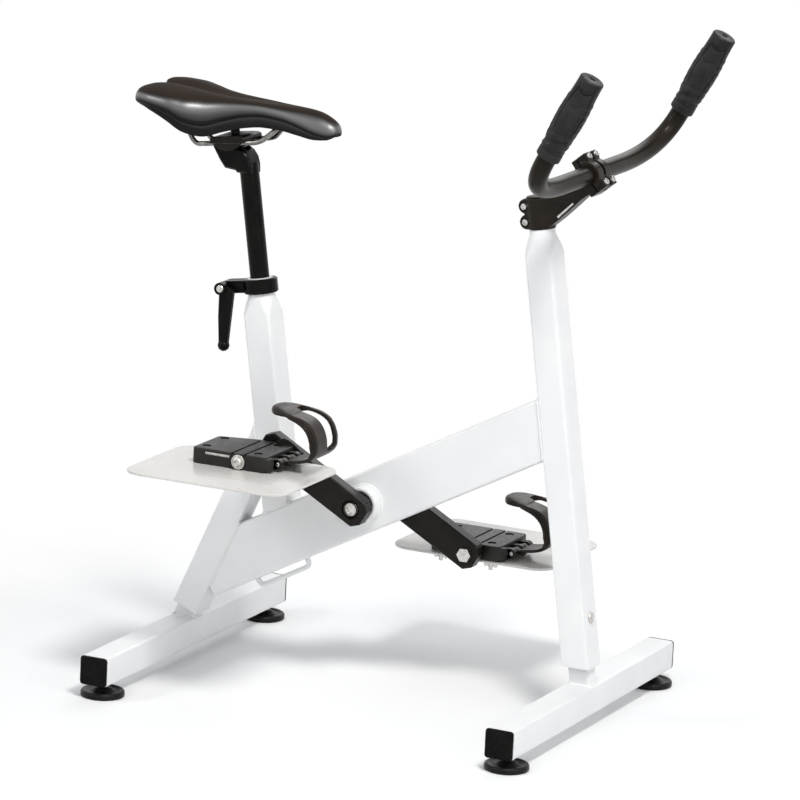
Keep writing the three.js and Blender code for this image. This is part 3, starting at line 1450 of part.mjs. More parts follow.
function handlebarPath(centre) {
  const path = new THREE.CurvePath();
  const corner = (s) => new THREE.Vector3(centre.x, s * handlebarHalf, centre.z);
  const runEnd = (s) => new THREE.Vector3(centre.x, s * (handlebarHalf - handlebarRun), centre.z);
  const bendEnd = (s) => along(corner(s), gripDirection, handlebarCurve);
  const top = (s) => along(corner(s), gripDirection, handlebarUpright - gripCap - seatGap);
  path.add(new THREE.LineCurve3(top(-1), bendEnd(-1)));
  path.add(new THREE.QuadraticBezierCurve3(bendEnd(-1), corner(-1), runEnd(-1)));
  path.add(new THREE.LineCurve3(runEnd(-1), runEnd(1)));
  path.add(new THREE.QuadraticBezierCurve3(runEnd(1), corner(1), bendEnd(1)));
  path.add(new THREE.LineCurve3(bendEnd(1), top(1)));
  return path;
}

function makeHandlebar(centre) {
  const section = new THREE.Shape().absarc(0, 0, handlebarRadius, 0, Math.PI * 2);
  const hollow = new THREE.Path().absarc(0, 0, handlebarRadius - handlebarWall, 0, Math.PI * 2, true);
  section.holes.push(hollow);
  const extrudePath = handlebarPath(centre);
  return new THREE.ExtrudeGeometry(section, { extrudePath, steps: 44, curveSegments: 6 });
}

// Grip: a closed rubber sleeve with a collar, a palm swelling and a flat end
function makeGrip(centre, side) {
  const bore = handlebarRadius + seatGap;
  const capAt = gripLength - gripCap;
  const rise = gripPalmRadius - gripEndRadius;
  const profile = [
    [0, capAt], [bore, capAt], [bore, 0], [gripCollarRadius - gripCollarEdge, 0],
    [gripCollarRadius, gripCollarEdge], [gripCollarRadius, gripCollar - gripCollarEdge],
    [gripNeck, gripCollar],
  ];
  const steps = 7;
  for (let i = 1; i < steps; i += 1) {
    const share = i / steps;
    const radius = gripEndRadius + rise * Math.sin(Math.PI * share) ** 2;
    profile.push([radius, gripCollar + share * (capAt - gripCollar)]);
  }
  profile.push([gripEndRadius, capAt], [gripEndRadius, gripLength - gripEdge]);
  profile.push([gripEndRadius - gripEdge, gripLength], [0, gripLength]);
  const corner = new THREE.Vector3(centre.x, side * handlebarHalf, centre.z);
  const start = along(corner, gripDirection, handlebarUpright - gripLength);
  return turned(profile, 16).applyMatrix4(axes(start, gripDirection, lateral));
}

function makeFrame() {
  const group = new THREE.Group();
  const legBack = legFront.clone().negate();
  group.add(makeFloorBar('rear_crossbar', legRoot, legAxis, legBack));
  group.add(makeFloorBar('front_crossbar', postRoot, uprightAxis, uprightFront));
  for (const [end, root] of [['rear', legRoot], ['front', postRoot]]) {
    for (const [word, side] of [['right', -1], ['left', 1]]) {
      group.add(makeEndCap(`end_cap_${end}_${word}`, root, side));
      group.add(makeFoot(`foot_${end}_${word}`, root, side));
    }
  }
  group.add(makeFrontPost(), makeMainBeam(), makeSeatTube(), makeRearLeg(), makeHousing(), makeCarryLoop());
  group.add(makeFrameBolt('post_bolt', postRoot, uprightAxis, uprightFront));
  group.add(makeFrameBolt('leg_bolt', legRoot, legAxis, legBack));
  group.add(makeBearing('crank_bearing_right', -1), makeBearing('crank_bearing_left', 1));
  return group;
}

function makeSaddleGroup() {
  const group = new THREE.Group();
  const clampCentre = new THREE.Vector3(clampCentreX, 0, clampCentreZ);
  const tip = new THREE.Matrix4().makeRotationY(-Math.atan(railSlope)).setPosition(clampCentre);
  const rockerCentre = new THREE.Vector3(0, 0, rockerRadius - clampThickness).applyMatrix4(tip);
  group.add(makeSeatPost(rockerCentre));
  group.add(piece('rail_cradle', makeRailCradle().applyMatrix4(tip), blackMetal));
  group.add(piece('rail_clamp', makeRailClamp().applyMatrix4(tip), blackMetal));
  group.add(piece('clamp_bolt', makeClampBolt().applyMatrix4(tip), blackMetal));
  const underShell = (x, y) => {
    const section = saddleSection((x - saddleRearX) / saddleLength);
    return undersideZ(section, y) - shellGap - shellThickness;
  };
  group.add(piece('saddle_rails', makeRails(underShell), blackMetal));
  group.add(piece('saddle_shell', makeShell(), blackPlastic));
  group.add(piece('saddle_cushion', makeCushion(), blackLeather));
  return group;
}

function makeCollarGroup() {
  const group = new THREE.Group();
  const base = along(seatRoot, uprightAxis, seatTubeTop + 1);
  const place = axes(base, uprightAxis, lateral);
  const pivot = new THREE.Vector3(0, leverBack, collarHeight / 2).applyMatrix4(place);
  group.add(piece('seat_collar', makeCollar(place), blackMetal));
  group.add(piece('lever_bolt', makeLeverBolt(pivot), stainless));
  group.add(piece('clamp_lever', makeLever(pivot), blackPlastic));
  return group;
}

function makeSteeringGroup() {
  const group = new THREE.Group();
  const steerBase = along(postRoot, uprightAxis, postTop + neckHeight + seatGap);
  const steerMid = along(steerBase, uprightAxis, steererRise / 2);
  const barCentre = new THREE.Vector3(steerMid.x + stemReach, 0, steerMid.z + stemRise);
  group.add(...makeStem(steerBase, barCentre));
  group.add(piece('handlebar', makeHandlebar(barCentre), blackMetal));
  group.add(piece('grip_right', makeGrip(barCentre, -1), blackRubber));
  group.add(piece('grip_left', makeGrip(barCentre, 1), blackRubber));
  return group;
}

const bike = new THREE.Group();
bike.add(makeFrame(), makeCrankGroup(), makePedal('right', -1), makePedal('left', 1));
bike.add(makeSaddleGroup(), makeCollarGroup(), makeSteeringGroup());

// Stand the bike on the floor with its outline centred on the origin
bike.updateMatrixWorld(true);
const outline = new THREE.Box3().setFromObject(bike);
bike.position.x = -(outline.min.x + outline.max.x) / 2;

export default bike;
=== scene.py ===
# %% [markdown]
# # A pool cycle, dressed for a studio picture
#
# The welded frame, cranks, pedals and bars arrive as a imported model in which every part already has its
# real size and place. This script adds what a picture needs: finishes, the upholstered saddle, the rubber
# grips, weld beads, screws, lamps and a floor. It could also have been drawn from nothing, but then each
# finish would have to be fitted by eye. Working around the model keeps all joints free to move.

from math import ceil, copysign, cos, degrees, exp, pi, radians, sin, sqrt, tan

import bmesh
import bpy
from mathutils import Matrix, Vector


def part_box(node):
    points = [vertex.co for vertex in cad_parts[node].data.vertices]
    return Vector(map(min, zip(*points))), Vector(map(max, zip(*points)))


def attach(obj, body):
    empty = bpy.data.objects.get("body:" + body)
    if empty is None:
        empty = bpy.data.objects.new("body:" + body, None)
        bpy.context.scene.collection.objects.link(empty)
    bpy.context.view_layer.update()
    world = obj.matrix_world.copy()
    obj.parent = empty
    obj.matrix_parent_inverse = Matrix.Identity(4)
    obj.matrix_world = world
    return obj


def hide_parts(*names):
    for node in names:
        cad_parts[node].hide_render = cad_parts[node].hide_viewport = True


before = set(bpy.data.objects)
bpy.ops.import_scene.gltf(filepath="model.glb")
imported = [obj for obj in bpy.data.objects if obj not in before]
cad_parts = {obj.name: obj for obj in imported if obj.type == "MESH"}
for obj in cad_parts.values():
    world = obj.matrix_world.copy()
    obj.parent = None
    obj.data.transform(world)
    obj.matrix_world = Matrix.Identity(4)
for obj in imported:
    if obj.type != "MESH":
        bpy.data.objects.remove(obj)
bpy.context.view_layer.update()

# %% [markdown]
# ## The camera
#
# The picture was taken from the cycle's right side, a little in front and well above the saddle, with a long
# lens that keeps the upright tubes nearly parallel. A camera could be turned until it looks right, but a lens
# worked out from the corners of the two floor bars puts every part where it is in the picture. The angles
# below are that result: how far the camera is swung round, tipped down and leaned over.

# %% Set up the camera
mm = 0.001
camera_place = Vector((3.0727, -6.5738, 2.0792))
swing = radians(-24.935)
tip_down = radians(12.977)
lean_over = radians(2.786)
picture_size = 800
focal_pixels = 5514.1
sensor_width = 36.0

looking = Vector((sin(swing) * cos(tip_down), cos(swing) * cos(tip_down), -sin(tip_down)))
level_right = Vector((cos(swing), -sin(swing), 0))
level_up = level_right.cross(looking)
camera_right = cos(lean_over) * level_right + sin(lean_over) * level_up
camera_up = cos(lean_over) * level_up - sin(lean_over) * level_right

camera = bpy.data.objects.new("camera", bpy.data.cameras.new("camera"))
bpy.context.scene.collection.objects.link(camera)
camera.data.sensor_width = sensor_width
camera.data.lens = focal_pixels / picture_size * sensor_width
camera.data.clip_start = 0.5
camera.data.clip_end = 60
turned = Matrix((camera_right, camera_up, -looking)).transposed().to_4x4()
camera.matrix_world = Matrix.Translation(camera_place) @ turned
bpy.context.scene.camera = camera
print("lens:", round(camera.data.lens, 1), "mm")

# %% Show colours as they are written
bpy.context.scene.view_settings.view_transform = "Standard"
print("view:", bpy.context.scene.view_settings.view_transform)

# %% [markdown]
# ## Light and floor
#
# The picture has a white studio round the cycle: broad soft light from above and from the left, hardly any
# dark side, and one soft patch of shadow under the beam. Large area lamps give that. The white backdrop is
# the world as the camera sees it, so it needs no extra light on the cycle. Polished metal and clear parts
# see the same white, while matt surfaces get a dimmer, plain grey fill.

# %% A Math node for two sockets, or for a socket and a number
def maths(nodes, links, operation, first, second):
    node = nodes.new("ShaderNodeMath")
    node.operation = operation
    for socket, value in zip(node.inputs, (first, second)):
        if isinstance(value, float):
            socket.default_value = value
        else:
            links.new(value, socket)
    return node.outputs[0]


# %% Tell apart what is seen and what only lights
def seen_directly(nodes, links):
    """1 where a ray comes from the camera, from a reflection or through a clear part, else 0."""
    path = nodes.new("ShaderNodeLightPath")
    seen_or_mirrored = maths(nodes, links, "MAXIMUM", path.outputs["Is Camera Ray"], path.outputs["Is Glossy Ray"])
    return maths(nodes, links, "MAXIMUM", seen_or_mirrored, path.outputs["Is Transmission Ray"])


# %% Build the world
fill_colour = (0.93, 0.96, 1.0, 1)
fill_strength = 0.5
plain_white = (1, 1, 1, 1)

world = bpy.data.worlds.new("studio")
bpy.context.scene.world = world
world.use_nodes = True
world_nodes = world.node_tree.nodes
world_links = world.node_tree.links
world_nodes.clear()
fill_light = world_nodes.new("ShaderNodeBackground")
fill_light.inputs["Color"].default_value = fill_colour
fill_light.inputs["Strength"].default_value = fill_strength
white_backdrop = world_nodes.new("ShaderNodeBackground")
white_backdrop.inputs["Color"].default_value = plain_white
white_backdrop.inputs["Strength"].default_value = 1.0
choose_world = world_nodes.new("ShaderNodeMixShader")
world_output = world_nodes.new("ShaderNodeOutputWorld")
world_links.new(seen_directly(world_nodes, world_links), choose_world.inputs["Fac"])
world_links.new(fill_light.outputs[0], choose_world.inputs[1])
world_links.new(white_backdrop.outputs[0], choose_world.inputs[2])
world_links.new(choose_world.outputs[0], world_output.inputs["Surface"])
print("fill light strength:", fill_strength)

# %% Hang the lamps
cycle_middle = Vector((0, 0, 0.42))


def soft_lamp(name, place, width, watts, tint):
    lamp = bpy.data.lights.new(name, "AREA")
    lamp.shape = "DISK"
    lamp.size = width
    lamp.energy = watts
    lamp.color = tint
    holder = bpy.data.objects.new(name, lamp)
    holder.location = place
    holder.rotation_euler = (Vector(place) - cycle_middle).to_track_quat("Z", "Y").to_euler()
    bpy.context.scene.collection.objects.link(holder)


soft_lamp("lamp_left", (-2.6, -2.6, 2.6), 1.3, 34, (1.0, 1.0, 1.0))
soft_lamp("lamp_above", (1.3, -1.4, 3.0), 0.7, 66, (1.0, 0.99, 0.97))
soft_lamp("lamp_right", (3.2, -1.4, 1.8), 1.5, 20, (1.0, 1.0, 1.0))
soft_lamp("lamp_behind", (-0.6, 3.2, 2.4), 2.0, 16, (1.0, 1.0, 1.0))

# %% Lay the floor
floor_half = 14.0
floor_corners = [(floor_half * x, floor_half * y, 0) for x, y in ((-1, -1), (1, -1), (1, 1), (-1, 1))]
floor_mesh = bpy.data.meshes.new("floor")
floor_mesh.from_pydata(floor_corners, [], [(0, 1, 2, 3)])
floor = bpy.data.objects.new("floor", floor_mesh)
bpy.context.scene.collection.objects.link(floor)
print("floor side:", 2 * floor_half, "m")

# %% [markdown]
# The floor has to take the cycle's shadow and still vanish into the white backdrop. A plain white floor
# turns grey far from the lamps. So the camera sees the matt floor lifted by a little light that grows towards
# the back, and from 0.42 m to 0.95 m out the floor fades into the same even white as the world.

# %% A value that follows another between two limits
def ramp(nodes, links, value, low, high, at_low=0.0, at_high=1.0, smooth=False):
    """Runs from at_low to at_high while the given value runs from low to high, and stays there outside."""
    node = nodes.new("ShaderNodeMapRange")
    if smooth:
        node.interpolation_type = "SMOOTHSTEP"
    for word, number in (("From Min", low), ("From Max", high), ("To Min", at_low), ("To Max", at_high)):
        node.inputs[word].default_value = number
    links.new(value, node.inputs["Value"])
    return node.outputs["Result"]


# %% Mix the floor's light
floor_grey = (0.88, 0.88, 0.88, 1)
lift_from, lift_to = 0.1, 1.0
least_lift, most_lift = 0.01, 0.38
fade_from, fade_to = 0.42, 0.95

floor_paint = bpy.data.materials.new("floor paint")
floor_paint.use_nodes = True
nodes, links = floor_paint.node_tree.nodes, floor_paint.node_tree.links
nodes.clear()
floor_place = nodes.new("ShaderNodeTexCoord").outputs["Object"]
seen = seen_directly(nodes, links)
towards_back = nodes.new("ShaderNodeSeparateXYZ")
links.new(floor_place, towards_back.inputs[0])
back_lift = ramp(nodes, links, towards_back.outputs["Y"], lift_from, lift_to, least_lift, most_lift)
lift_strength = maths(nodes, links, "MULTIPLY", seen, back_lift)
far_out = nodes.new("ShaderNodeVectorMath")
far_out.operation = "LENGTH"
links.new(floor_place, far_out.inputs[0])
fade = ramp(nodes, links, far_out.outputs["Value"], fade_from, fade_to, smooth=True)
fade_strength = maths(nodes, links, "MULTIPLY", fade, seen)
print("the floor fades from", fade_from, "to", fade_to, "m")

# %% Paint the floor
matt = nodes.new("ShaderNodeBsdfDiffuse")
matt.inputs["Color"].default_value = floor_grey
lift = nodes.new("ShaderNodeEmission")
lift.inputs["Color"].default_value = plain_white
links.new(lift_strength, lift.inputs["Strength"])
lifted_matt = nodes.new("ShaderNodeAddShader")
links.new(matt.outputs[0], lifted_matt.inputs[0])
links.new(lift.outputs[0], lifted_matt.inputs[1])
even_white = nodes.new("ShaderNodeEmission")
even_white.inputs["Color"].default_value = plain_white
faded_floor = nodes.new("ShaderNodeMixShader")
links.new(fade_strength, faded_floor.inputs["Fac"])
links.new(lifted_matt.outputs[0], faded_floor.inputs[1])
links.new(even_white.outputs[0], faded_floor.inputs[2])
floor_output = nodes.new("ShaderNodeOutputMaterial")
links.new(faded_floor.outputs[0], floor_output.inputs["Surface"])
floor_mesh.materials.append(floor_paint)

# %% [markdown]
# ## Finishes
#
# Each finish starts from Blender's principled shader. What is even over the whole surface, such as a metal's
# metalness, is typed on the shader itself. What varies comes from noise in the part's own coordinates, so
# that it stays on the part when a joint moves: a slight drift of colour, a patchy gloss, and a bump for the
# grain. Picture textures would do as well, but noise has no seams and needs no unwrapping.


# %% A fresh finish and its shader
def new_finish(name, roughness, metallic=0.0, level=0.5):
    finish = bpy.data.materials.new(name)
    finish.use_nodes = True
    nodes = finish.node_tree.nodes
    shader = nodes["Principled BSDF"]
    shader.inputs["Roughness"].default_value = roughness
    shader.inputs["Metallic"].default_value = metallic
    shader.inputs["Specular IOR Level"].default_value = level
    return finish, nodes, finish.node_tree.links, shader


# %% Noise in the part's own coordinates
def grain(nodes, links, lumps, detail):
    """Noise between 0 and 1, with so many lumps in a metre."""
    place = nodes.new("ShaderNodeTexCoord")
    noise = nodes.new("ShaderNodeTexNoise")
    noise.inputs["Scale"].default_value = lumps
    noise.inputs["Detail"].default_value = detail
    links.new(place.outputs["Object"], noise.inputs["Vector"])
    return noise.outputs["Fac"]


# %% Mix two colours
def mix_colours(nodes, links, factor, first, second):
    """Each colour is given as red, green and blue, or as a socket."""
    mix = nodes.new("ShaderNodeMix")
    mix.data_type = "RGBA"
    links.new(factor, mix.inputs["Factor"])
    for word, colour in (("A", first), ("B", second)):
        if isinstance(colour, tuple):
            mix.inputs[word].default_value = (*colour, 1)
        else:
            links.new(colour, mix.inputs[word])
    return mix.outputs["Result"]


# %% Colour, gloss and bump from noise
def colour_between(nodes, links, shader, noise, dark, light):
    colour = mix_colours(nodes, links, ramp(nodes, links, noise, 0.35, 0.65), dark, light)
    links.new(colour, shader.inputs["Base Color"])
    return colour


def gloss_between(nodes, links, shader, noise, smooth, rough):
    links.new(ramp(nodes, links, noise, 0.3, 0.7, smooth, rough), shader.inputs["Roughness"])


def raise_by(nodes, links, shader, noise, depth, strength):
    """Adds a bump to those that the shader already has."""
    bump = nodes.new("ShaderNodeBump")
    bump.inputs["Distance"].default_value = depth
    bump.inputs["Strength"].default_value = strength
    before = shader.inputs["Normal"].links
    if before:
        links.new(before[0].from_socket, bump.inputs["Normal"])
    links.new(noise, bump.inputs["Height"])
    links.new(bump.outputs["Normal"], shader.inputs["Normal"])


# %% White powder coat
def make_powder_coat():
    finish, nodes, links, shader = new_finish("white powder coat", 0.36)
    drift = grain(nodes, links, 14, 3)
    colour_between(nodes, links, shader, drift, (0.77, 0.775, 0.785), (0.81, 0.812, 0.81))
    gloss_between(nodes, links, shader, grain(nodes, links, 60, 5), 0.30, 0.42)
    raise_by(nodes, links, shader, grain(nodes, links, 700, 2), 0.02 * mm, 0.4)
    raise_by(nodes, links, shader, grain(nodes, links, 90, 1), 0.06 * mm, 0.3)
    shader.inputs["Coat Weight"].default_value = 0.25
    shader.inputs["Coat Roughness"].default_value = 0.12
    return finish


# %% Black moulded plastic
def make_black_plastic():
    finish, nodes, links, shader = new_finish("black moulded plastic", 0.42, level=0.3)
    drift = grain(nodes, links, 45, 6)
    colour_between(nodes, links, shader, drift, (0.0075, 0.0070, 0.0060), (0.0165, 0.0150, 0.0125))
    gloss_between(nodes, links, shader, grain(nodes, links, 130, 4), 0.34, 0.46)
    raise_by(nodes, links, shader, grain(nodes, links, 2400, 2), 0.015 * mm, 0.4)
    return finish


# %% Black anodised aluminium
def make_black_anodised():
    finish, nodes, links, shader = new_finish("black anodised aluminium", 0.32, level=0.16)
    drift = grain(nodes, links, 30, 4)
    colour_between(nodes, links, shader, drift, (0.0045, 0.0038, 0.0030), (0.0100, 0.0086, 0.0068))
    gloss_between(nodes, links, shader, grain(nodes, links, 260, 5), 0.26, 0.36)
    raise_by(nodes, links, shader, grain(nodes, links, 1500, 3), 0.008 * mm, 0.4)
    return finish


# %% Stainless steel
def make_stainless():
    finish, nodes, links, shader = new_finish("stainless steel", 0.26, metallic=1.0)
    drift = grain(nodes, links, 220, 5)
    colour_between(nodes, links, shader, drift, (0.50, 0.485, 0.46), (0.70, 0.685, 0.66))
    gloss_between(nodes, links, shader, grain(nodes, links, 900, 4), 0.20, 0.36)
    raise_by(nodes, links, shader, grain(nodes, links, 3000, 2), 0.02 * mm, 0.4)
    return finish


# %% Milky plate
def make_milky_plate():
    finish, nodes, links, shader = new_finish("milky polycarbonate", 0.3)
    drift = grain(nodes, links, 7, 2)
    colour_between(nodes, links, shader, drift, (0.60, 0.575, 0.55), (0.66, 0.64, 0.615))
    gloss_between(nodes, links, shader, grain(nodes, links, 40, 6), 0.26, 0.34)
    raise_by(nodes, links, shader, grain(nodes, links, 25, 1), 0.05 * mm, 0.15)
    shader.inputs["Coat Weight"].default_value = 0.3
    shader.inputs["Coat Roughness"].default_value = 0.1
    return finish


# %% Deep black lacquer
def make_deep_black():
    finish, nodes, links, shader = new_finish("deep black lacquer", 0.26, level=0.09)
    drift = grain(nodes, links, 40, 4)
    colour_between(nodes, links, shader, drift, (0.0016, 0.0015, 0.0014), (0.0048, 0.0044, 0.0038))
    gloss_between(nodes, links, shader, grain(nodes, links, 180, 4), 0.22, 0.32)
    raise_by(nodes, links, shader, grain(nodes, links, 1500, 3), 0.008 * mm, 0.4)
    return finish


# %% Foot rubber
def make_foot_rubber():
    finish, nodes, links, shader = new_finish("foot rubber", 0.3, level=0.16)
    drift = grain(nodes, links, 60, 5)
    colour_between(nodes, links, shader, drift, (0.0035, 0.0032, 0.0030), (0.0085, 0.0080, 0.0072))
    gloss_between(nodes, links, shader, grain(nodes, links, 200, 5), 0.28, 0.42)
    raise_by(nodes, links, shader, grain(nodes, links, 1800, 2), 0.015 * mm, 0.4)
    return finish


# %% Dark steel of the saddle rails
def make_rail_steel():
    finish, nodes, links, shader = new_finish("dark chromed steel", 0.22, metallic=1.0)
    drift = grain(nodes, links, 120, 4)
    colour_between(nodes, links, shader, drift, (0.16, 0.15, 0.14), (0.3, 0.29, 0.275))
    gloss_between(nodes, links, shader, grain(nodes, links, 700, 4), 0.16, 0.32)
    return finish


# %% Make the finishes
powder_coat = make_powder_coat()
black_plastic = make_black_plastic()
black_anodised = make_black_anodised()
stainless = make_stainless()
milky_plate = make_milky_plate()
foot_rubber = make_foot_rubber()
deep_black = make_deep_black()
rail_steel = make_rail_steel()
print("finishes:", len(bpy.data.materials))

# %% [markdown]
# ## The parts that keep their modelled shape
#
# A real tube or casting has no knife edges: paint and tools leave a small round that catches the light. The
# modelled parts have flat facets and sharp edges, so each gets the same four modifiers: corners are welded,
# flat facets are joined, sharp edges are rounded, and the shading is weighted towards the large faces. The
# vertices themselves are left alone. Cutting the rounds into the model by hand would take far longer.

# %% A modifier that joins corners and shades smoothly
def make_softener():
    group = bpy.data.node_groups.new("join and smooth", "GeometryNodeTree")
    group.interface.new_socket("Geometry", in_out="INPUT", socket_type="NodeSocketGeometry")
    group.interface.new_socket("Geometry", in_out="OUTPUT", socket_type="NodeSocketGeometry")
    nodes, links = group.nodes, group.links
    entry = nodes.new("NodeGroupInput")
    bare = nodes.new("GeometryNodeRemoveAttribute")
    bare.inputs["Name"].default_value = "custom_normal"
    joined = nodes.new("GeometryNodeMergeByDistance")
    joined.inputs["Distance"].default_value = 0.005 * mm
    smooth = nodes.new("GeometryNodeSetShadeSmooth")
    leave = nodes.new("NodeGroupOutput")
    links.new(entry.outputs[0], bare.inputs["Geometry"])
    links.new(bare.outputs["Geometry"], joined.inputs["Geometry"])
    links.new(joined.outputs["Geometry"], smooth.inputs["Geometry"])
    links.new(smooth.outputs["Geometry"], leave.inputs[0])
    return group


softener = make_softener()


# %% Round the edges of a modelled part
flat_within = radians(0.6)
sharp_beyond = radians(32)


def round_edges(part, width):
    part.modifiers.new("join and smooth", "NODES").node_group = softener
    flatten = part.modifiers.new("join flat facets", "DECIMATE")
    flatten.decimate_type = "DISSOLVE"
    flatten.angle_limit = flat_within
    bevel = part.modifiers.new("round edges", "BEVEL")
    bevel.width = width
    bevel.segments = 2
    bevel.limit_method = "ANGLE"
    bevel.angle_limit = sharp_beyond
    bevel.harden_normals = True
    weighted = part.modifiers.new("even shading", "WEIGHTED_NORMAL")
    weighted.keep_sharp = True


# %% Give parts their finish and the width of their rounds
finished_parts = []


def finish_parts(names, finish, edge):
    for name in names:
        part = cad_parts[name]
        part.data.materials.clear()
        part.data.materials.append(finish)
        round_edges(part, edge * mm)
        finished_parts.append(name)


# %% Paint the frame and fit the hardware
sides = ("right", "left")
ends = ("rear", "front")
finish_parts(["rear_crossbar", "front_crossbar", "front_post", "main_beam", "seat_tube", "rear_leg",
              "crank_housing", "carry_loop"], powder_coat, 0.8)
finish_parts([f"end_cap_{end}_{side}" for end in ends for side in sides], deep_black, 0.6)
finish_parts(["post_bolt", "leg_bolt", "crank_axle", "lever_bolt"], stainless, 0.3)
for side in sides:
    finish_parts([f"{name}_{side}" for name in ("crank_bearing", "crank_bolt", "pedal_axle", "pedal_nut")],
                 stainless, 0.3)
    finish_parts([f"plate_bolt_{place}_{side}" for place in ("rear_outer", "rear_inner", "front_outer",
                                                            "front_inner")], stainless, 0.2)
    finish_parts([f"crank_{side}"], black_anodised, 0.8)
finish_parts(["seat_post"], deep_black, 0.6)
finish_parts(["seat_collar"], deep_black, 1.0)
finish_parts(["clamp_lever"], deep_black, 1.2)
finish_parts(["rail_cradle", "rail_clamp", "clamp_bolt"], black_anodised, 0.6)
finish_parts(["saddle_shell"], black_plastic, 0.6)
print("parts that keep their shape:", len(finished_parts))

# %% [markdown]
# ## Measures shared by the new pieces
#
# The pieces below are drawn where the model's parts are, so they need the same few directions: how the two
# uprights, the rear leg and the beam lean. Typing each corner in world coordinates would hide what belongs
# together. Here the rear floor bar is the starting line and all lengths are millimetres, as on a workshop
# drawing.

# %% Directions and places on the cycle
low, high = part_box("foot_rear_right")
start_x = (low[0] + high[0]) / 2


def spot(x, y, z):
    """A place counted in millimetres from the middle of the rear floor bar, at floor level."""
    return Vector((start_x + x * mm, y * mm, z * mm))


lateral = Vector((0, 1, 0))
forward = Vector((1, 0, 0))
upward = Vector((0, 0, 1))
upright_axis = Vector((-0.156, 0, 1)).normalized()
leg_axis = Vector((0.426, 0, 1)).normalized()
beam_axis = Vector((1, 0, 0.5435)).normalized()
upright_front = lateral.cross(upright_axis)
leg_front = lateral.cross(leg_axis)
beam_up = beam_axis.cross(lateral)
leg_root = spot(0, 0, 60)
seat_root = spot(167, 0, 60)
post_root = spot(600, 0, 60)
crank_centre = spot(274, 0, 264)
print("crank centre:", [round(v, 4) for v in crank_centre])


# %% A local frame along a direction
def axes(origin, along, side):
    """Local Z runs along, local X lies as near as it can to side."""
    z = along.normalized()
    y = z.cross(side).normalized()
    x = y.cross(z)
    place = Matrix((x, y, z)).transposed().to_4x4()
    place.translation = origin
    return place


# %% A mesh whose faces all look outward
def closed_mesh(name, points, faces, join_within=0.0):
    mesh = bpy.data.meshes.new(name)
    mesh.from_pydata([tuple(point) for point in points], [], faces)
    work = bmesh.new()
    work.from_mesh(mesh)
    if join_within:
        bmesh.ops.remove_doubles(work, verts=work.verts, dist=join_within)
    bmesh.ops.recalc_face_normals(work, faces=work.faces)
    work.to_mesh(mesh)
    work.free()
    return mesh


# %% Turn points and faces into a piece that rides on a body
def new_piece(name, points, faces, body, slot, finish, sharp=40):
    """Edges that turn by more than sharp degrees stay crisp."""
    mesh = closed_mesh(name, points, faces, 0.002 * mm)
    mesh.materials.append(finish)
    mesh.polygons.foreach_set("use_smooth", [True] * len(mesh.polygons))
    mesh.set_sharp_from_angle(angle=radians(sharp))
    piece = bpy.data.objects.new(name, mesh)
    bpy.context.scene.collection.objects.link(piece)
    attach(piece, body)
    return piece


# %% Skin over a row of rings
def skin(rings, joined=False):
    """Faces between rings of equal length. Joined: the last ring meets the first, else the ends close."""
    count = len(rings[0])
    points = [point for ring in rings for point in ring]
    faces = []
    for i in range(len(rings) if joined else len(rings) - 1):
        a = i * count
        b = ((i + 1) % len(rings)) * count
        for j in range(count):
            k = (j + 1) % count
            faces.append((a + j, a + k, b + k, b + j))
    if not joined:
        faces.append(tuple(reversed(range(count))))
        faces.append(tuple(range(len(points) - count, len(points))))
    return points, faces


# %% Turned pieces
def turned_rings(profile, place, around=48):
    """Rings of a turned piece from (radius, height) in mm, about the local Z axis of place."""
    rings = []
    for radius, height in profile:
        ring = []
        for i in range(around):
            angle = 2 * pi * i / around
            ring.append(place @ Vector((radius * cos(angle), radius * sin(angle), height)))
        rings.append(ring)
    return rings


def mm_place(place):
    """The same place, but taking millimetres as input."""
    return place @ Matrix.Diagonal((mm, mm, mm, 1))


def turned_piece(name, profile, place, body, slot, finish, around=48, sharp=40):
    points, faces = skin(turned_rings(profile, mm_place(place), around))
    return new_piece(name, points, faces, body, slot, finish, sharp)


# %% Bent wires
def even_path(corners, step, closed=False):
    """Points at even steps along a line through the given corners."""
    if closed:
        corners = list(corners) + [corners[0]]
    lengths = [0.0]
    for a, b in zip(corners, corners[1:]):
        lengths.append(lengths[-1] + (b - a).length)
    count = max(3, ceil(lengths[-1] / step))
    points = []
    k = 0
    for i in range(count if closed else count + 1):
        wanted = lengths[-1] * i / count
        while k < len(lengths) - 2 and lengths[k + 1] < wanted:
            k += 1
        span = lengths[k + 1] - lengths[k]
        share = (wanted - lengths[k]) / span if span > 0 else 0
        points.append(corners[k].lerp(corners[k + 1], min(share, 1)))
    return points


def wire_rings(path, radius, around, closed=False):
    """Rings round a path. The radius is a length or a function of the ring's number."""
    count = len(path)
    rings = []
    side = None
    for i in range(count):
        after = path[(i + 1) % count] if closed or i + 1 < count else path[i]
        before = path[i - 1] if closed or i > 0 else path[i]
        tangent = (after - before).normalized()
        if side is None:
            guide = upward if abs(tangent.z) < 0.9 else lateral
            side = guide.cross(tangent).normalized()
        side = (side - side.dot(tangent) * tangent).normalized()
        other = tangent.cross(side)
        r = radius(i) if callable(radius) else radius
        rings.append([path[i] + r * (cos(2 * pi * j / around) * side + sin(2 * pi * j / around) * other)
                      for j in range(around)])
    return rings


# %% [markdown]
# ## Weld beads
#
# The frame's tubes are welded where they meet, and a hand weld leaves a low bead with a ripple for each pause
# of the torch. A bump could fake it, but the beads show against the white background at the beam's end. So
# each bead is a thin wire, half sunk into the seam, whose thickness swells and shrinks every 2.6 mm.

# %% A rippled bead along a seam
bead_radius = 2.1 * mm
ripple = 2.6 * mm


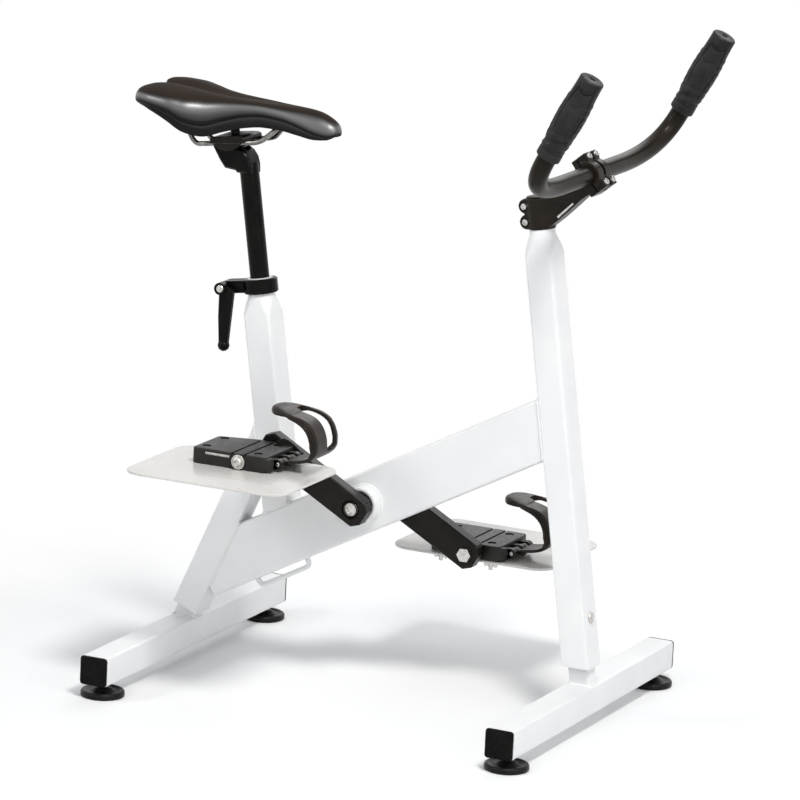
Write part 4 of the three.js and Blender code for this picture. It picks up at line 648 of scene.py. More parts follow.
def weld_bead(name, corners, closed):
    path = even_path(corners, ripple / 4, closed)

    def swell(i):
        return bead_radius * (0.78 + 0.22 * abs(cos(pi * i / 4)) + 0.05 * sin(i * 0.37))

    points, faces = skin(wire_rings(path, swell, 10, closed), closed)
    new_piece(name, points, faces, "frame", "white_paint", powder_coat, 180)


# %% The outline of a tube's end
def corner_loop(centre, u, v, half_u, half_v, corner):
    """A rectangle with rounded corners, half sizes in mm along two directions that need not be square."""
    points = []
    for turn, (su, sv) in enumerate([(1, 1), (-1, 1), (-1, -1), (1, -1)]):
        for i in range(7):
            angle = pi / 2 * (turn + i / 6)
            points.append(centre + u * (su * (half_u - corner) + corner * cos(angle)) * mm
                          + v * (sv * (half_v - corner) + corner * sin(angle)) * mm)
    return points


# %% Find the seams
tube_half = 20
beam_half = 40


def plane_meets(point, direction, plane_point, normal):
    """Where a line from the point along the direction goes through a plane."""
    return point + direction * ((plane_point - point).dot(normal) / direction.dot(normal))


seams = {}
for word, root, tube in (("rear", leg_root, leg_axis), ("front", post_root, upright_axis)):
    seams[f"stub_{word}"] = corner_loop(root, forward, lateral, 15 / tube.z, 13, 3)
post_face = post_root - upright_front * tube_half * mm
post_seam = plane_meets(crank_centre, beam_axis, post_face, upright_front) - upright_front * 0.5 * mm
beam_slant = abs(beam_up.dot(upright_axis))
seams["beam_post"] = corner_loop(post_seam, lateral, upright_axis, tube_half, beam_half / beam_slant, 5)
seat_seam = plane_meets(seat_root, upright_axis, crank_centre + beam_up * beam_half * mm, beam_up)
seat_slant = abs(upright_front.dot(beam_axis))
seams["seat_tube"] = corner_loop(seat_seam, beam_axis, lateral, tube_half / seat_slant, 21, 4)
leg_seam = plane_meets(leg_root, leg_axis, seat_root - upright_front * tube_half * mm, upright_front)
leg_slant = abs(leg_front.dot(upright_axis))
seams["leg_top"] = corner_loop(leg_seam, lateral, upright_axis, 22, tube_half / leg_slant, 4)

# %% Find the seams of the housing and the leg's side, and lay all beads
for word, side in (("right", -1), ("left", 1)):
    angles = [2 * pi * i / 72 for i in range(72)]
    seams[f"housing_{word}"] = [crank_centre + lateral * side * 20.3 * mm
                                + (forward * cos(angle) + upward * sin(angle)) * 25.6 * mm for angle in angles]
leg_face = leg_root + leg_front * tube_half * mm
beam_top = plane_meets(crank_centre + beam_up * beam_half * mm, beam_axis, leg_face, leg_front)
cut_corner = plane_meets(beam_top, leg_axis, crank_centre - beam_axis * 275 * mm, beam_axis)
half_width = lateral * tube_half * mm
seams["leg_beam"] = [cut_corner - half_width, beam_top - half_width,
                     beam_top + half_width, cut_corner + half_width]
for name, corners in seams.items():
    weld_bead(f"bead_{name}", corners, name != "leg_beam")
print("weld beads:", len(seams))

# %% [markdown]
# ## Saddle cover
#
# A sports saddle is foam moulded on a plastic shell and covered with black microfibre. The pad swells over a
# flatter skirt, and where the two meet the cover has a long crease. The model's cushion has the same sizes
# but flat facets. A cloth simulation would puff the pad up evenly and lose the crease and the channel, so the
# cover is drawn as 110 cross-sections whose sizes run smoothly along the saddle.

# %% Sizes along the saddle, from the rear lobes to the nose
length_shares = [0, 0.02, 0.06, 0.12, 0.2, 0.28, 0.36, 0.45, 0.54, 0.63, 0.72, 0.81, 0.89, 0.95, 0.985, 1]
width_shares = [0.62, 0.78, 0.9, 0.98, 1, 0.93, 0.74, 0.53, 0.4, 0.33, 0.3, 0.29, 0.28, 0.24, 0.16, 0.03]
top_shares = [0.26, 0.12, 0.03, 0, 0.02, 0.08, 0.15, 0.2, 0.23, 0.26, 0.3, 0.34, 0.42, 0.58, 0.76, 0.93]
skirt_shares = [0.43, 0.43, 0.46, 0.55, 0.71, 0.92, 1, 0.88, 0.77, 0.72, 0.74, 0.8, 0.85, 0.83, 0.76, 0.71]
channel_shares = [1, 1, 1, 1, 0.95, 0.85, 0.7, 0.55, 0.42, 0.3, 0.18, 0.08, 0, 0, 0, 0]
crease_shares = [0, 0.08, 0.15, 0.24, 0.5, 0.72, 0.87, 0.95, 1]
crease_heights = [2, 5, 9, 15, 16, 14, 8, 3, 1.5]
saddle_rear = -87
saddle_length = 290
saddle_half = 71
saddle_top = 805
top_drop = 43
skirt_drop = 64
channel_depth = 9
notch_depth = 20


def smooth_at(places, values, t):
    """A curve through the table without overshoot: each stretch leaves and arrives at the shared slope."""
    k = 0
    while k < len(places) - 2 and places[k + 1] < t:
        k += 1

    def slope(i):
        if i <= 0 or i >= len(places) - 1:
            return 0.0
        a = (values[i] - values[i - 1]) / (places[i] - places[i - 1])
        b = (values[i + 1] - values[i]) / (places[i + 1] - places[i])
        return 0.0 if a * b <= 0 else 2 * a * b / (a + b)

    span = places[k + 1] - places[k]
    u = min(max((t - places[k]) / span, 0), 1)
    return ((1 + 2 * u) * (1 - u) ** 2 * values[k] + u * (1 - u) ** 2 * span * slope(k)
            + u * u * (3 - 2 * u) * values[k + 1] + u * u * (u - 1) * span * slope(k + 1))


# %% One cross-section of the saddle
def saddle_section(t):
    top = saddle_top - top_drop * smooth_at(length_shares, top_shares, t)
    skirt = min(saddle_top - skirt_drop * smooth_at(length_shares, skirt_shares, t), top - 4)
    channel = min(channel_depth * smooth_at(length_shares, channel_shares, t), 0.35 * (top - skirt))
    crease = min(smooth_at(crease_shares, crease_heights, t), 0.5 * (top - skirt))
    half = saddle_half * smooth_at(length_shares, width_shares, t)
    return {"x": saddle_rear + saddle_length * t, "half": half, "top": top, "skirt": skirt, "channel": channel,
            "crease": crease, "notch": notch_depth * max(0, 1 - t / 0.2) ** 1.5,
            "round": min(max((t - 0.6) / 0.3, 0), 1)}


# %% The cover's lower side and one ring of its outline
def under_saddle(section, y):
    across = min(abs(y) / (section["half"] * 0.9), 1)
    height = section["top"] - section["skirt"]
    room = min(height * 0.5, height - section["channel"] - 4)
    return section["skirt"] + room * (1 - across ** 2.5)


def saddle_ring(section):
    """From the top's middle down the right side and under it, then the same mirrored."""
    half = section["half"]
    crease_z = section["skirt"] + section["crease"]
    widest_z = crease_z + 0.16 * (section["top"] - crease_z)
    right_side = []
    for i in range(25):
        angle = pi / 2 * i / 24
        y = half * sin(angle) ** (0.85 + 0.15 * section["round"])
        dip = section["channel"] * exp(-((y / 13) ** 2))
        rise = cos(angle) ** (0.62 + 0.38 * section["round"])
        right_side.append((y, widest_z + (section["top"] - widest_z) * rise - dip))
    for share, inward in ((0.35, 0.004), (0.7, 0.016), (0.92, 0.032), (1.0, 0.05), (1.04, 0.052)):
        right_side.append((half * (1 - inward), widest_z + (crease_z - widest_z) * share))
    for share, inward in ((0.12, 0.05), (0.4, 0.058), (0.75, 0.076), (0.94, 0.09), (1.0, 0.1)):
        right_side.append((half * (1 - inward), crease_z + (section["skirt"] - crease_z) * share))
    hem = half * 0.9
    for i in range(1, 9):
        y = hem * (1 - i / 8)
        right_side.append((y, under_saddle(section, y)))
    ring = []
    for y, z in right_side + [(-y, z) for y, z in reversed(right_side[1:-1])]:
        back = section["notch"] * max(0, 1 - abs(y) / (saddle_half * 0.55))
        ring.append(spot(section["x"] + back, y, z))
    return ring


# %% Microfibre that is black and silky at the sides, matt above with a painted brown reflection
def make_microfibre():
    finish, nodes, links, shader = new_finish("black microfibre", 0.4)
    parts = nodes.new("ShaderNodeSeparateXYZ")
    links.new(nodes.new("ShaderNodeTexCoord").outputs["Normal"], parts.inputs[0])
    facing_up = parts.outputs["Z"]
    drift = grain(nodes, links, 26, 4)
    side = mix_colours(nodes, links, drift, (0.0055, 0.0057, 0.0060), (0.0115, 0.0118, 0.0125))
    # painted reflection: faces that look up get a brown colour in place of the black, standing in for a warm
    # reflection
    above = mix_colours(nodes, links, drift, (0.0130, 0.0082, 0.0055), (0.0250, 0.0165, 0.0115))
    painted_reflection_share = ramp(nodes, links, facing_up, 0.55, 0.92, smooth=True)
    links.new(mix_colours(nodes, links, painted_reflection_share, side, above), shader.inputs["Base Color"])
    links.new(ramp(nodes, links, facing_up, 0.45, 0.9, 0.42, 0.8, True), shader.inputs["Roughness"])
    not_below = ramp(nodes, links, facing_up, -0.12, 0.22, 0.05, 1.0, True)
    not_above = ramp(nodes, links, facing_up, 0.36, 0.8, 1.0, 0.08, True)
    sheen = maths(nodes, links, "MULTIPLY", maths(nodes, links, "MULTIPLY", not_below, not_above), 0.8)
    links.new(sheen, shader.inputs["Specular IOR Level"])
    links.new(sheen, shader.inputs["Coat Weight"])
    shader.inputs["Coat Roughness"].default_value = 0.38
    shader.inputs["Coat IOR"].default_value = 1.95
    raise_by(nodes, links, shader, grain(nodes, links, 2600, 3), 0.03 * mm, 0.5)
    raise_by(nodes, links, shader, grain(nodes, links, 60, 2), 0.2 * mm, 0.15)
    return finish


microfibre = make_microfibre()

# %% Draw the cover
cover_steps = 110
stations = [0.5 - 0.5 * cos(pi * i / cover_steps) for i in range(cover_steps + 1)]
points, faces = skin([saddle_ring(saddle_section(t)) for t in stations])
saddle_cover = new_piece("saddle_cover", points, faces, "saddle", "saddle_cover", microfibre, 75)
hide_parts("saddle_cushion")
print("saddle cover faces:", len(faces))

# %% [markdown]
# ## Saddle rails
#
# One steel wire, 7 mm thick, carries the saddle: it starts under the rear, runs straight through the clamp,
# climbs to the nose and comes back on the other side. A bent tube with many sides shows the long highlight
# that gives steel wire away, so the model's six-sided wire is replaced by a round one on the same route.

# %% A smooth bend
def curve_points(knots, count):
    """Points on a Bezier curve through the first and the last knot."""
    points = []
    for i in range(count + 1):
        level = list(knots)
        while len(level) > 1:
            level = [a.lerp(b, i / count) for a, b in zip(level, level[1:])]
        points.append(level[0])
    return points


# %% The route of one rail
wire_radius = 3.5
rail_spread = 22
nose_spread = 8.8
clamp_x = 46
clamp_z = 732
rail_slope = 0.135


def under_shell(x, y):
    """The height of the wire's middle where it touches the shell from below."""
    cover = under_saddle(saddle_section((x - saddle_rear) / saddle_length), y)
    return cover - 1.2 - 4 - wire_radius - 0.5


def rail_side(sign):
    """The path of one side, and the two knots of the turn at the nose."""
    nose_x = saddle_rear + saddle_length * 0.8
    nose_z = under_shell(nose_x, nose_spread)

    def on_slope(x):
        return spot(x, sign * rail_spread, clamp_z + rail_slope * (x - clamp_x))

    rear_end = spot(-20, sign * 27.5, under_shell(-20, rail_spread))
    rise = spot(nose_x - 30, sign * nose_spread, nose_z)
    path = curve_points([rear_end, on_slope(-12), on_slope(2)], 16)
    knee = on_slope(93)
    path += curve_points([on_slope(80), knee, knee.lerp(rise, 0.22)], 12)
    path += curve_points([knee.lerp(rise, 0.22), knee.lerp(rise, 0.75), rise], 12)[1:]
    return path, rise, spot(nose_x, sign * nose_spread, nose_z)


# %% Bend the rail wire
right_path, right_rise, right_nose = rail_side(-1)
left_path, left_rise, left_nose = rail_side(1)
rail_path = right_path + curve_points([right_rise, right_nose, left_nose, left_rise], 20)[1:-1]
rail_path += list(reversed(left_path))
points, faces = skin(wire_rings(even_path(rail_path, 2.5 * mm), wire_radius * mm, 20))
rails = new_piece("saddle_wire", points, faces, "saddle", "rail_steel", rail_steel, 60)
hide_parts("saddle_rails")
print("rail wire length:", round(sum((b - a).length for a, b in zip(rail_path, rail_path[1:])), 3), "m")

# %% [markdown]
# ## Handlebar and grips
#
# The bar is one tube, bent up at both ends, and lacquered brown-black so that it takes long soft highlights.
# Facets would break those up, so the tube is drawn again with finer steps. Each grip is charcoal rubber: a
# plain collar, diagonal folds that look wrapped, an oval pad of fine rings on the front and the back, a scoop
# on each side near the top, two curved grooves down the palm's side, and a flat end with a small dimple. The
# relief could be sculpted, but as a radius that depends on height and angle it is the same on both grips.

# %% Brown-black lacquer
def make_bar_lacquer():
    finish, nodes, links, shader = new_finish("brown black lacquer", 0.3, level=0.1)
    drift = grain(nodes, links, 18, 3)
    colour_between(nodes, links, shader, drift, (0.0080, 0.0060, 0.0040), (0.0150, 0.0112, 0.0078))
    gloss_between(nodes, links, shader, grain(nodes, links, 150, 4), 0.27, 0.34)
    raise_by(nodes, links, shader, grain(nodes, links, 60, 1), 0.04 * mm, 0.2)
    return finish


# %% Charcoal rubber with painted shade in the grooves
def make_grip_rubber():
    finish, nodes, links, shader = new_finish("charcoal rubber", 0.5, level=0.2)
    drift = grain(nodes, links, 50, 5)
    charcoal = colour_between(nodes, links, shader, drift, (0.0085, 0.0090, 0.0085), (0.0180, 0.0185, 0.0172))
    # painted shade: where the surface turns inward, in the grooves of the relief, the colour goes near black
    relief = nodes.new("ShaderNodeNewGeometry").outputs["Pointiness"]
    outside_painted_groove_shade = ramp(nodes, links, relief, 0.485, 0.506)
    shaded = mix_colours(nodes, links, outside_painted_groove_shade, (0.001, 0.001, 0.001), charcoal)
    links.new(shaded, shader.inputs["Base Color"])
    gloss_between(nodes, links, shader, grain(nodes, links, 160, 4), 0.44, 0.56)
    raise_by(nodes, links, shader, grain(nodes, links, 2200, 3), 0.02 * mm, 0.5)
    return finish


bar_lacquer = make_bar_lacquer()
grip_rubber = make_grip_rubber()

# %% Bend the bar
bar_radius = 12.7
corner_out = 221
bend_out = 96
grip_length = 121
steer_base = post_root + upright_axis * 617.3 * mm
steer_middle = steer_base + upright_axis * 22 * mm
bar_centre = steer_middle + forward * 71 * mm + upward * 60 * mm
grip_axis = Vector((0.525, 0, 1)).normalized()


def bar_side(sign):
    corner = bar_centre + lateral * sign * corner_out * mm
    run_end = bar_centre + lateral * sign * bend_out * mm
    bend_end = corner + grip_axis * 62 * mm
    top = corner + grip_axis * 181.7 * mm
    return [run_end] + curve_points([run_end, corner, bend_end], 40)[1:] + [top]


bar_path = list(reversed(bar_side(-1))) + bar_side(1)
points, faces = skin(wire_rings(even_path(bar_path, 5 * mm), bar_radius * mm, 36))
bar = new_piece("handlebar_tube", points, faces, "handlebar", "black_alloy", bar_lacquer, 50)
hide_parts("handlebar")
low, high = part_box("handlebar")
print("bar width:", round(high[1] - low[1], 3), "m")


# %% Soft steps and ridges for the relief
def rising(value, start, length):
    return min(1, max(0, (value - start) / length))


def falling(value, end, length):
    return min(1, max(0, (end - value) / length))


def bump_at(distance, width):
    return exp(-((distance / width) ** 2))


# %% The relief of a grip
palm_angle = radians(195)


def palm_grooves(height, angle):
    """The depth of the two long grooves on the palm's side and of the arc above them."""
    away = degrees((angle - palm_angle + pi) % (2 * pi) - pi)
    depth = 0
    if abs(away) < 75:
        edge = 38 + 14 * cos(pi * (height - 76) / 76)
        depth += 1.3 * rising(height, 40, 8) * falling(height, 110, 8) * bump_at((abs(away) - edge) * 0.32, 1.5)
    if abs(away) < 45:
        depth += 0.9 * bump_at(height - 119 + 17 * sqrt(1 - (away / 45) ** 2), 1.3)
    return depth


def grip_radius(height, angle):
    """Radius in mm at a height above the grip's foot and an angle from the rider's left."""
    if height <= 12:
        return 16.5 - 0.9 * max(0, 1 - height / 1.2) ** 2 - 0.5 * max(0, height - 11)
    radius = 16.6 + 2.0 * sin(pi * rising(height, 12, 104)) ** 2 - 0.8 * bump_at(height - 12.5, 1.6)
    across = abs(cos(angle))
    scoop = max(0, (across - 0.72) / 0.28) * rising(height, 104 - 30 * across, 8)
    radius -= 2.2 * scoop * falling(height, 110, 6)
    oval = sqrt(((height - 60) / 34) ** 2 + ((1 - abs(sin(angle))) / 0.22) ** 2)
    if oval < 1:
        radius += 0.4 + 0.45 * cos(oval * 22)
    radius -= palm_grooves(height, angle)
    if oval > 1.05:
        radius += 0.75 * falling(height, 46, 10) * rising(height, 14, 4) * sin(height * 0.4 + 2.2 * sin(angle))
    return radius


# %% Mould the grips
grip_around = 96
grip_heights = [0, 0.6, 1.3] + [2 + i for i in range(9)] + [11.3, 11.8, 12.2, 12.8]
grip_heights += [13.5 + i * 0.92 for i in range(112)] + [117, 118.4, 119.4]
grip_end = [(15.9, 120.4), (15.2, 120.9), (14.4, grip_length), (4.6, grip_length), (4.2, 120.8), (3.6, 119.9),
            (0, 119.8)]


def make_grip(word, sign):
    foot = bar_centre + lateral * sign * corner_out * mm + grip_axis * 66 * mm
    place = mm_place(axes(foot, grip_axis, lateral))
    rings = turned_rings([(13.0, 0)], place, grip_around)
    for height in grip_heights:
        ring = []
        for i in range(grip_around):
            angle = 2 * pi * i / grip_around
            radius = grip_radius(height, angle)
            ring.append(place @ Vector((radius * cos(angle), radius * sin(angle), height)))
        rings.append(ring)
    rings += turned_rings(grip_end, place, grip_around)
    grip = new_piece(f"rubber_grip_{word}", *skin(rings), "handlebar", "grip_rubber", grip_rubber, 60)
    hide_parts(f"grip_{word}")
    print(grip.name, "faces:", len(grip.data.polygons))


make_grip("right", -1)
make_grip("left", 1)

# %% [markdown]
# ## Castings
#
# The stem and the toe clips are moulded pieces: every wall runs into the next in a soft round, and only the
# bores and slits, cut later by a machine, have crisp edges. They are made here in the same order. Rough
# overlapping solids are melted into one skin on a fine grid and smoothed, and the cuts come last. Sculpting
# the rounds by hand would give the same look but could not be repeated with other sizes.

# %% Gather rough solids
def together(*solids):
    points, faces = [], []
    for solid_points, solid_faces in solids:
        start = len(points)
        points += solid_points
        faces += [tuple(start + i for i in face) for face in solid_faces]
    return points, faces


# %% Melt, smooth and cut
def rough_body(solid):
    body = bpy.data.objects.new("rough body", closed_mesh("rough body", *solid))
    bpy.context.scene.collection.objects.link(body)
    return body


def cast(solid, cuts, voxel=None):
    """Points and faces of a solid after cutting, and before that, where voxel gives the grid in millimetres,
    after melting and smoothing."""
    blank = rough_body(solid)
    if voxel:
        melt = blank.modifiers.new("melt", "REMESH")
        melt.mode = "VOXEL"
        melt.voxel_size = voxel * mm
        smooth = blank.modifiers.new("smooth", "SMOOTH")
        smooth.iterations = 4
    cutters = [rough_body(cut) for cut in cuts]
    for cutter in cutters:
        step = blank.modifiers.new("cut", "BOOLEAN")
        step.operation = "DIFFERENCE"
        step.solver = "EXACT"
        step.object = cutter
    ready = blank.evaluated_get(bpy.context.evaluated_depsgraph_get())
    result = bpy.data.meshes.new_from_object(ready)
    points = [vertex.co.copy() for vertex in result.vertices]
    faces = [tuple(polygon.vertices) for polygon in result.polygons]
    for body in [blank] + cutters:
        mesh = body.data
        bpy.data.objects.remove(body)
        bpy.data.meshes.remove(mesh)
    bpy.data.meshes.remove(result)
    return points, faces


# %% Rough solids
def rod_solid(base, direction, radius, length, around=48):
    side = forward if abs(direction.normalized().y) > 0.9 else lateral
    return skin(turned_rings([(radius, 0), (radius, length)], mm_place(axes(base, direction, side)), around))


def block_solid(place, low, high):
    """A box between two corners in the millimetres of a place function."""
    rings = []
    for z in (low[2], high[2]):
        rings.append([place(low[0], low[1], z), place(high[0], low[1], z), place(high[0], high[1], z),
                      place(low[0], high[1], z)])
    return skin(rings)


# %% [markdown]
# ## Stem
#
# The stem is an aluminium casting: a split sleeve pinched on the steerer by two bolts behind, an arm that
# falls away below the bar, and a jaw whose front half comes off with four bolts. It is painted brown-black,
# with one bare strip low on its side. The jaw and its plate are melted from the same solids and parted by a
# 2 mm cut, so they match.

# %% Brown-black casting paint
def make_casting_paint():
    finish, nodes, links, shader = new_finish("brown black casting paint", 0.34, level=0.14)
    drift = grain(nodes, links, 30, 4)
    colour_between(nodes, links, shader, drift, (0.0075, 0.0056, 0.0038), (0.0150, 0.0112, 0.0078))
    gloss_between(nodes, links, shader, grain(nodes, links, 160, 4), 0.28, 0.40)
    raise_by(nodes, links, shader, grain(nodes, links, 1200, 2), 0.01 * mm, 0.4)
    return finish


casting_paint = make_casting_paint()

# %% Places on the stem's arm and on the steerer
arm_axis = (bar_centre - steer_middle).normalized()
arm_up = arm_axis.cross(lateral)
bar_reach = (bar_centre - steer_middle).length / mm


def on_arm(reach, side, up):
    return steer_middle + (arm_axis * reach + lateral * side + arm_up * up) * mm


def on_steerer(back, side, height):
    return steer_base + (upright_axis * height + lateral * side - upright_front * back) * mm


# %% Rough solids of the stem
arm_half = 15
pinch_heights = (10.4, 31.6)
jaw_sides = (-11, 11)
arm_sections = [(0, -25, 18), (20, -24.5, 11), (45, -22.5, 0.5), (65, -20.5, -4.5), (84, -22, -3)]
arm = skin([[on_arm(reach, -arm_half, low), on_arm(reach, arm_half, low), on_arm(reach, arm_half, high),
             on_arm(reach, -arm_half, high)] for reach, low, high in arm_sections])
sleeve = rod_solid(steer_base, upright_axis, 18.8, 42)
lobes = [rod_solid(on_steerer(16.8, -12, height), lateral, 10, 24) for height in pinch_heights]
jaw = rod_solid(on_arm(bar_reach, -19.5, 0), lateral, 18.2, 39)
chin = block_solid(on_arm, (80, -17, -26.5), (94, 17, -14))
ears = [block_solid(on_arm, (84, side - 7.5, up - 6), (108, side + 7.5, up + 6))
        for side in jaw_sides for up in (-20.5, 20.5)]
print("lean of the arm:", round(degrees(arm_axis.angle(forward)), 1), "degrees")

# %% Cuts of the stem
bar_bore = rod_solid(on_arm(bar_reach, -40, 0), lateral, 12.85, 80, 64)
steerer_bore = rod_solid(on_steerer(0, 0, -4), upright_axis, 14.45, 50, 64)
slit = block_solid(on_steerer, (0, -1.25, -4), (40, 1.25, 50))
front_half = block_solid(on_arm, (bar_reach - 1, -40, -60), (bar_reach + 60, 40, 60))
rear_half = block_solid(on_arm, (bar_reach - 140, -40, -90), (bar_reach + 1, 40, 90))
window = block_solid(on_arm, (bar_reach, -3.6, -11), (bar_reach + 60, 3.6, 11))

# %% Cast the stem and its front plate
stem_blank = together(arm, sleeve, jaw, chin, *lobes, *ears)
points, faces = cast(stem_blank, [front_half, bar_bore, steerer_bore, slit], 1.1)
stem_casting = new_piece("stem_casting", points, faces, "stem", "black_alloy", casting_paint, 50)
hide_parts("stem")
points, faces = cast(together(jaw, *ears), [rear_half, bar_bore, window], 1.0)
jaw_plate = new_piece("jaw_plate", points, faces, "stem", "black_alloy", casting_paint, 50)
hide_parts("stem_faceplate")
print("stem faces:", len(stem_casting.data.polygons))

# %% Bolts of the stem
socket_head = [(0, -4), (4.2, -4), (4.2, 2.6), (3.9, 3.2), (3.3, 3.5), (2.3, 3.5), (2.1, 3.2), (2.0, 1.4),
               (0, 1.4)]
bolts = {}
for word, height in zip(("lower", "upper"), pinch_heights):
    bolts[f"stem_bolt_{word}"] = axes(on_steerer(17.6, -12, height), -lateral, forward)
for word, side in zip(sides, jaw_sides):
    for level, up in (("low", -20), ("high", 20)):
        bolts[f"jaw_bolt_{word}_{level}"] = axes(on_arm(107.6, side, up), arm_axis, lateral)
for name, place in bolts.items():
    turned_piece(name, socket_head, place, "stem", "stainless", stainless, 36, 30)
print("stem bolts:", len(bolts))

# %% Top cap and bare strip of the stem
cap_profile = [(0, 42.2), (17.2, 42.2), (17.4, 43.2), (16.6, 44.2), (12, 45), (4.2, 45.2), (4.0, 44.2), (0, 44.2)]
turned_piece("steerer_cap", cap_profile, axes(steer_base, upright_axis, lateral), "stem", "black_alloy",
             casting_paint)
strip = skin([[on_arm(reach, -15.25, low), on_arm(reach, -14.6, low), on_arm(reach, -14.6, high),
               on_arm(reach, -15.25, high)] for reach, low, high in ((23, -22.4, -19.4), (53, -19.4, -17.2))])
new_piece("bare_strip", *strip, "stem", "stainless", stainless, 30)

# %% [markdown]
# ## Pedals
#
# A pedal is a moulded block that turns on the axle, with a clip over the toes and a milky plate below that
# pushes the water. The block is drawn again with rounded edges and lugs set further in, the plate with fine
# corners. One front corner is fuller, and the right block has a low guard beside the crank. The clip is one
# moulding: a strap that runs forward from its hinge, round the toes and back to a thick tip, with a window in
# front and a ribbed flange along one leg. It could be pulled out of a subdivided box, but bars that follow one
# path keep its sizes in short tables, and melting them gives the same soft rounds as on the stem.

# %% Brown-black clip plastic
def make_clip_plastic():
    finish, nodes, links, shader = new_finish("brown black clip plastic", 0.36, level=0.24)
    drift = grain(nodes, links, 22, 3)
    colour_between(nodes, links, shader, drift, (0.0080, 0.0062, 0.0045), (0.0230, 0.0145, 0.0095))
    gloss_between(nodes, links, shader, grain(nodes, links, 120, 4), 0.30, 0.44)
    raise_by(nodes, links, shader, grain(nodes, links, 700, 3), 0.05 * mm, 0.5)
    return finish


clip_plastic = make_clip_plastic()

# %% Sizes along the clip, from the hinge to the tip
clip_path = [(60, 1.2), (72, 2.4), (84, 5.0), (95, 9.6), (104, 16), (109, 22.5), (111, 29.5), (110.8, 37),
             (109, 44.5), (105.5, 53), (100, 60.5), (92, 66.4), (80, 70.2), (69, 72), (60, 73.4), (53, 74.5),
             (47, 75.4)]
near_sides = [-22, -21, -22, -27, -33, -36, -36, -36, -36, -36, -36, -36, -36, -36, -35, -33, -30]
far_sides = [20, 20, 21, 24, 27, 28, 28, 28, 28, 28, 28, 28, 28, 27, 25, 22, 19]
flange_depths = [4.5, 4.5, 4.5, 5, 7, 10.5, 12.3, 12.6, 12.6, 12.6, 12.3, 11.5, 9, 7, 5, 4.5, 4.5]
rib_depths = [4.5, 4.5, 5, 6, 8, 7.5, 7, 7, 6.8, 6.5, 6.2, 6, 5.2, 4.6, 4.5, 4.5, 4.5]
window_halves = [0, 0, 0, 0, 0, 9.5, 13.2, 14, 14, 14, 14, 14, 13.8, 12.6, 8, 0, 0]
clip_tip = [(70, -36, 27, 67.5, 73.3), (62, -35.4, 26, 66.2, 74.8), (54, -34, 24, 65.5, 76.5),
            (46, -31, 20.5, 65.2, 77.7), (39, -27, 16, 65.1, 78), (33.5, -21, 10, 65.8, 77.4),
            (30.4, -13, 2, 67.7, 75.6)]


# %% The place, the inward direction and the sizes at a share of the clip's length
clip_shares = [i / (len(clip_path) - 1) for i in range(len(clip_path))]
clip_tables = (near_sides, far_sides, flange_depths, rib_depths, window_halves)


def clip_point(share):
    return [smooth_at(clip_shares, [point[k] for point in clip_path], share) for k in (0, 1)]


def clip_station(share):
    x, z = clip_point(share)
    ahead, behind = clip_point(min(share + 0.01, 1)), clip_point(max(share - 0.01, 0))
    dx, dz = ahead[0] - behind[0], ahead[1] - behind[1]
    size = sqrt(dx * dx + dz * dz)
    return (x, z, -dz / size, dx / size, *[smooth_at(clip_shares, table, share) for table in clip_tables])


# %% Bars and rings of the clip
def strap(place, shares, sizes):
    """A bar along the clip's path. Sizes gives near side, far side, outer and inner distance at a station."""
    rings = []
    for share in shares:
        x, z, in_x, in_z, *rest = clip_station(share)
        near, far, outer, inner = sizes(*rest)
        corners = ((near, -outer), (far, -outer), (far, inner), (near, inner))
        rings.append([place(x + in_x * depth, y, z + in_z * depth) for y, depth in corners])
    return skin(rings)


def rounded_ring(place, x, near, far, low, high):
    """A ring that fills a rectangle almost into its corners."""
    ring = []
    for i in range(32):
        angle = 2 * pi * i / 32
        y = copysign(abs(cos(angle)) ** 0.6, cos(angle))
        z = copysign(abs(sin(angle)) ** 0.6, sin(angle))
        ring.append(place(x, (near + far) / 2 + y * (far - near) / 2, (low + high) / 2 + z * (high - low) / 2))
    return ring


# %% The lines along the clip's flange
def flange_lines(place):
    lines = []
    for depth in (2.6, 5.6, 8.6):
        line = []
        for i in range(60):
            x, z, in_x, in_z, *rest = clip_station(0.24 + 0.54 * i / 59)
            inward = depth * min(rest[2] / 12, 1)
            line.append(place(x + in_x * inward, -36.1, z + in_z * inward))
        lines.append(skin(wire_rings(line, 1.3 * mm, 10)))
    return lines


# %% Mould a clip
clip_hinge = 50


def make_clip(word, place):
    shares = [i / 60 for i in range(61)]
    band = strap(place, shares, lambda near, far, flange, rib, window: (near, far, 0, 4.2))
    flange = strap(place, shares, lambda near, far, flange, rib, window: (near, near + 4, 0, flange))
    rib = strap(place, shares, lambda near, far, flange, rib, window: (far - 5.5, far, 0, rib))
    tip = skin([rounded_ring(place, *row) for row in clip_tip])
    knuckles = [rod_solid(place(clip_hinge, near, 0), lateral, 5.8, 12) for near in (-18, 6)]
    tongues = [block_solid(place, (clip_hinge, near, -3.4), (64, near + 12, 3.4)) for near in (-18, 6)]
    opening = strap(place, [0.3 + 0.575 * i / 40 for i in range(41)],
                    lambda near, far, flange, rib, window: (8 - window, 8 + window, 4, 14))
    body = cast(together(band, flange, rib, tip, *knuckles, *tongues), [opening], 1.1)
    clip = new_piece(f"moulded_clip_{word}", *together(body, *flange_lines(place)), f"pedal_{word}",
                     "moulded_plastic", clip_plastic, 45)
    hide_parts(f"toe_clip_{word}")


